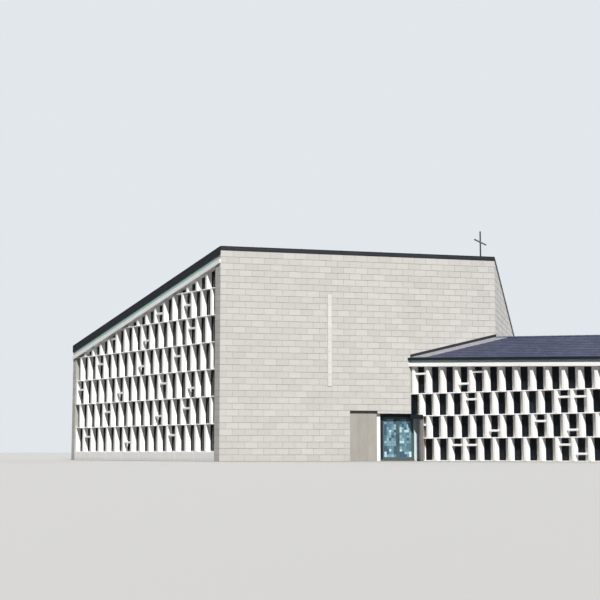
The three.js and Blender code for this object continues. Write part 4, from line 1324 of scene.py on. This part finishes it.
def add_stage():
    """Pale floor and sky, both dimmer to the church than to the camera, and three suns."""
    mesh = bpy.data.meshes.new("stage_floor")
    reach = (-STAGE_HALF, STAGE_HALF)
    mesh.from_pydata([(x, y, -0.002) for x, y in rectangle(reach, reach)], [], [[0, 1, 2, 3]])
    floor = add_object("stage_floor", mesh)
    pale = Finish("stage_floor", (0.08, 0.08, 0.08), 0.95)
    pale.blend(pale.node("LightPath").outputs["Is Camera Ray"], (0.25, 0.25, 0.247))
    mesh.materials.append(pale.done())
    floor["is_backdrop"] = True

    world = bpy.data.worlds.new("studio")
    bpy.context.scene.world = world
    world.use_nodes = True
    tree = world.node_tree
    light, seen = tree.nodes["Background"], tree.nodes.new("ShaderNodeBackground")
    for sky, color, strength in [(light, (0.90, 0.95, 1.0), 0.11), (seen, (0.76, 0.80, 0.84), 1.0)]:
        sky.inputs["Color"].default_value = (*color, 1)
        sky.inputs["Strength"].default_value = strength
    path = tree.nodes.new("ShaderNodeLightPath")
    mix = tree.nodes.new("ShaderNodeMixShader")
    tree.links.new(path.outputs["Is Camera Ray"], mix.inputs["Fac"])
    tree.links.new(light.outputs["Background"], mix.inputs[1])
    tree.links.new(seen.outputs["Background"], mix.inputs[2])
    tree.links.new(mix.outputs["Shader"], tree.nodes["World Output"].inputs["Surface"])

    # A key light from the front, and soft ones from the side and the back
    add_sun("key", 7.55, 3, (1.0, 0.975, 0.94), 6, 56)
    add_sun("side", 1.3, 60, (0.90, 0.95, 1.0), 105, 25)
    add_sun("back", 1.6, 60, (0.93, 0.96, 1.0), 205, 40)
    bpy.context.scene.view_settings.view_transform = "Standard"


def add_sun(name, energy, spread, color, azimuth, elevation):
    """A sun lamp. Angles are in degrees, the azimuth from the church's front towards its right."""
    data = bpy.data.lights.new(name, "SUN")
    data.energy = energy
    data.angle = math.radians(spread)
    data.color = color
    lamp = add_object(name, data)
    around, above = math.radians(azimuth), math.radians(elevation)
    towards = (math.sin(around) * math.cos(above), -math.cos(around) * math.cos(above), math.sin(above))
    lamp.rotation_euler = Vector(towards).to_track_quat("Z", "Y").to_euler()


def add_camera():
    data = bpy.data.cameras.new("camera")
    camera = add_object("camera", data)
    camera.location = CAMERA_PLACE
    camera.rotation_euler = (CAMERA_TILT, 0, CAMERA_TURN)
    data.lens = CAMERA_LENS
    data.shift_y = CAMERA_SHIFT
    data.clip_end = 3000
    bpy.context.scene.camera = camera


add_camera()
add_stage()
dress_nodes()
add_nave_masonry()
add_wing_end_masonry()
add_wall_strip()
add_side_lattice()
add_wing_front_lattice()
add_wing_back_lattice()
add_side_bands()
add_wing_bands()
add_wing_slates()
add_nave_slates()
add_roof_caps()
add_gutters()
add_ridge_and_verges()
add_entrance()
add_doors()
add_cross_details()

boxes = {"cad": cad_box, "visual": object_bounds()}
{name: [list(low), list(high)] for name, (low, high) in boxes.items()}
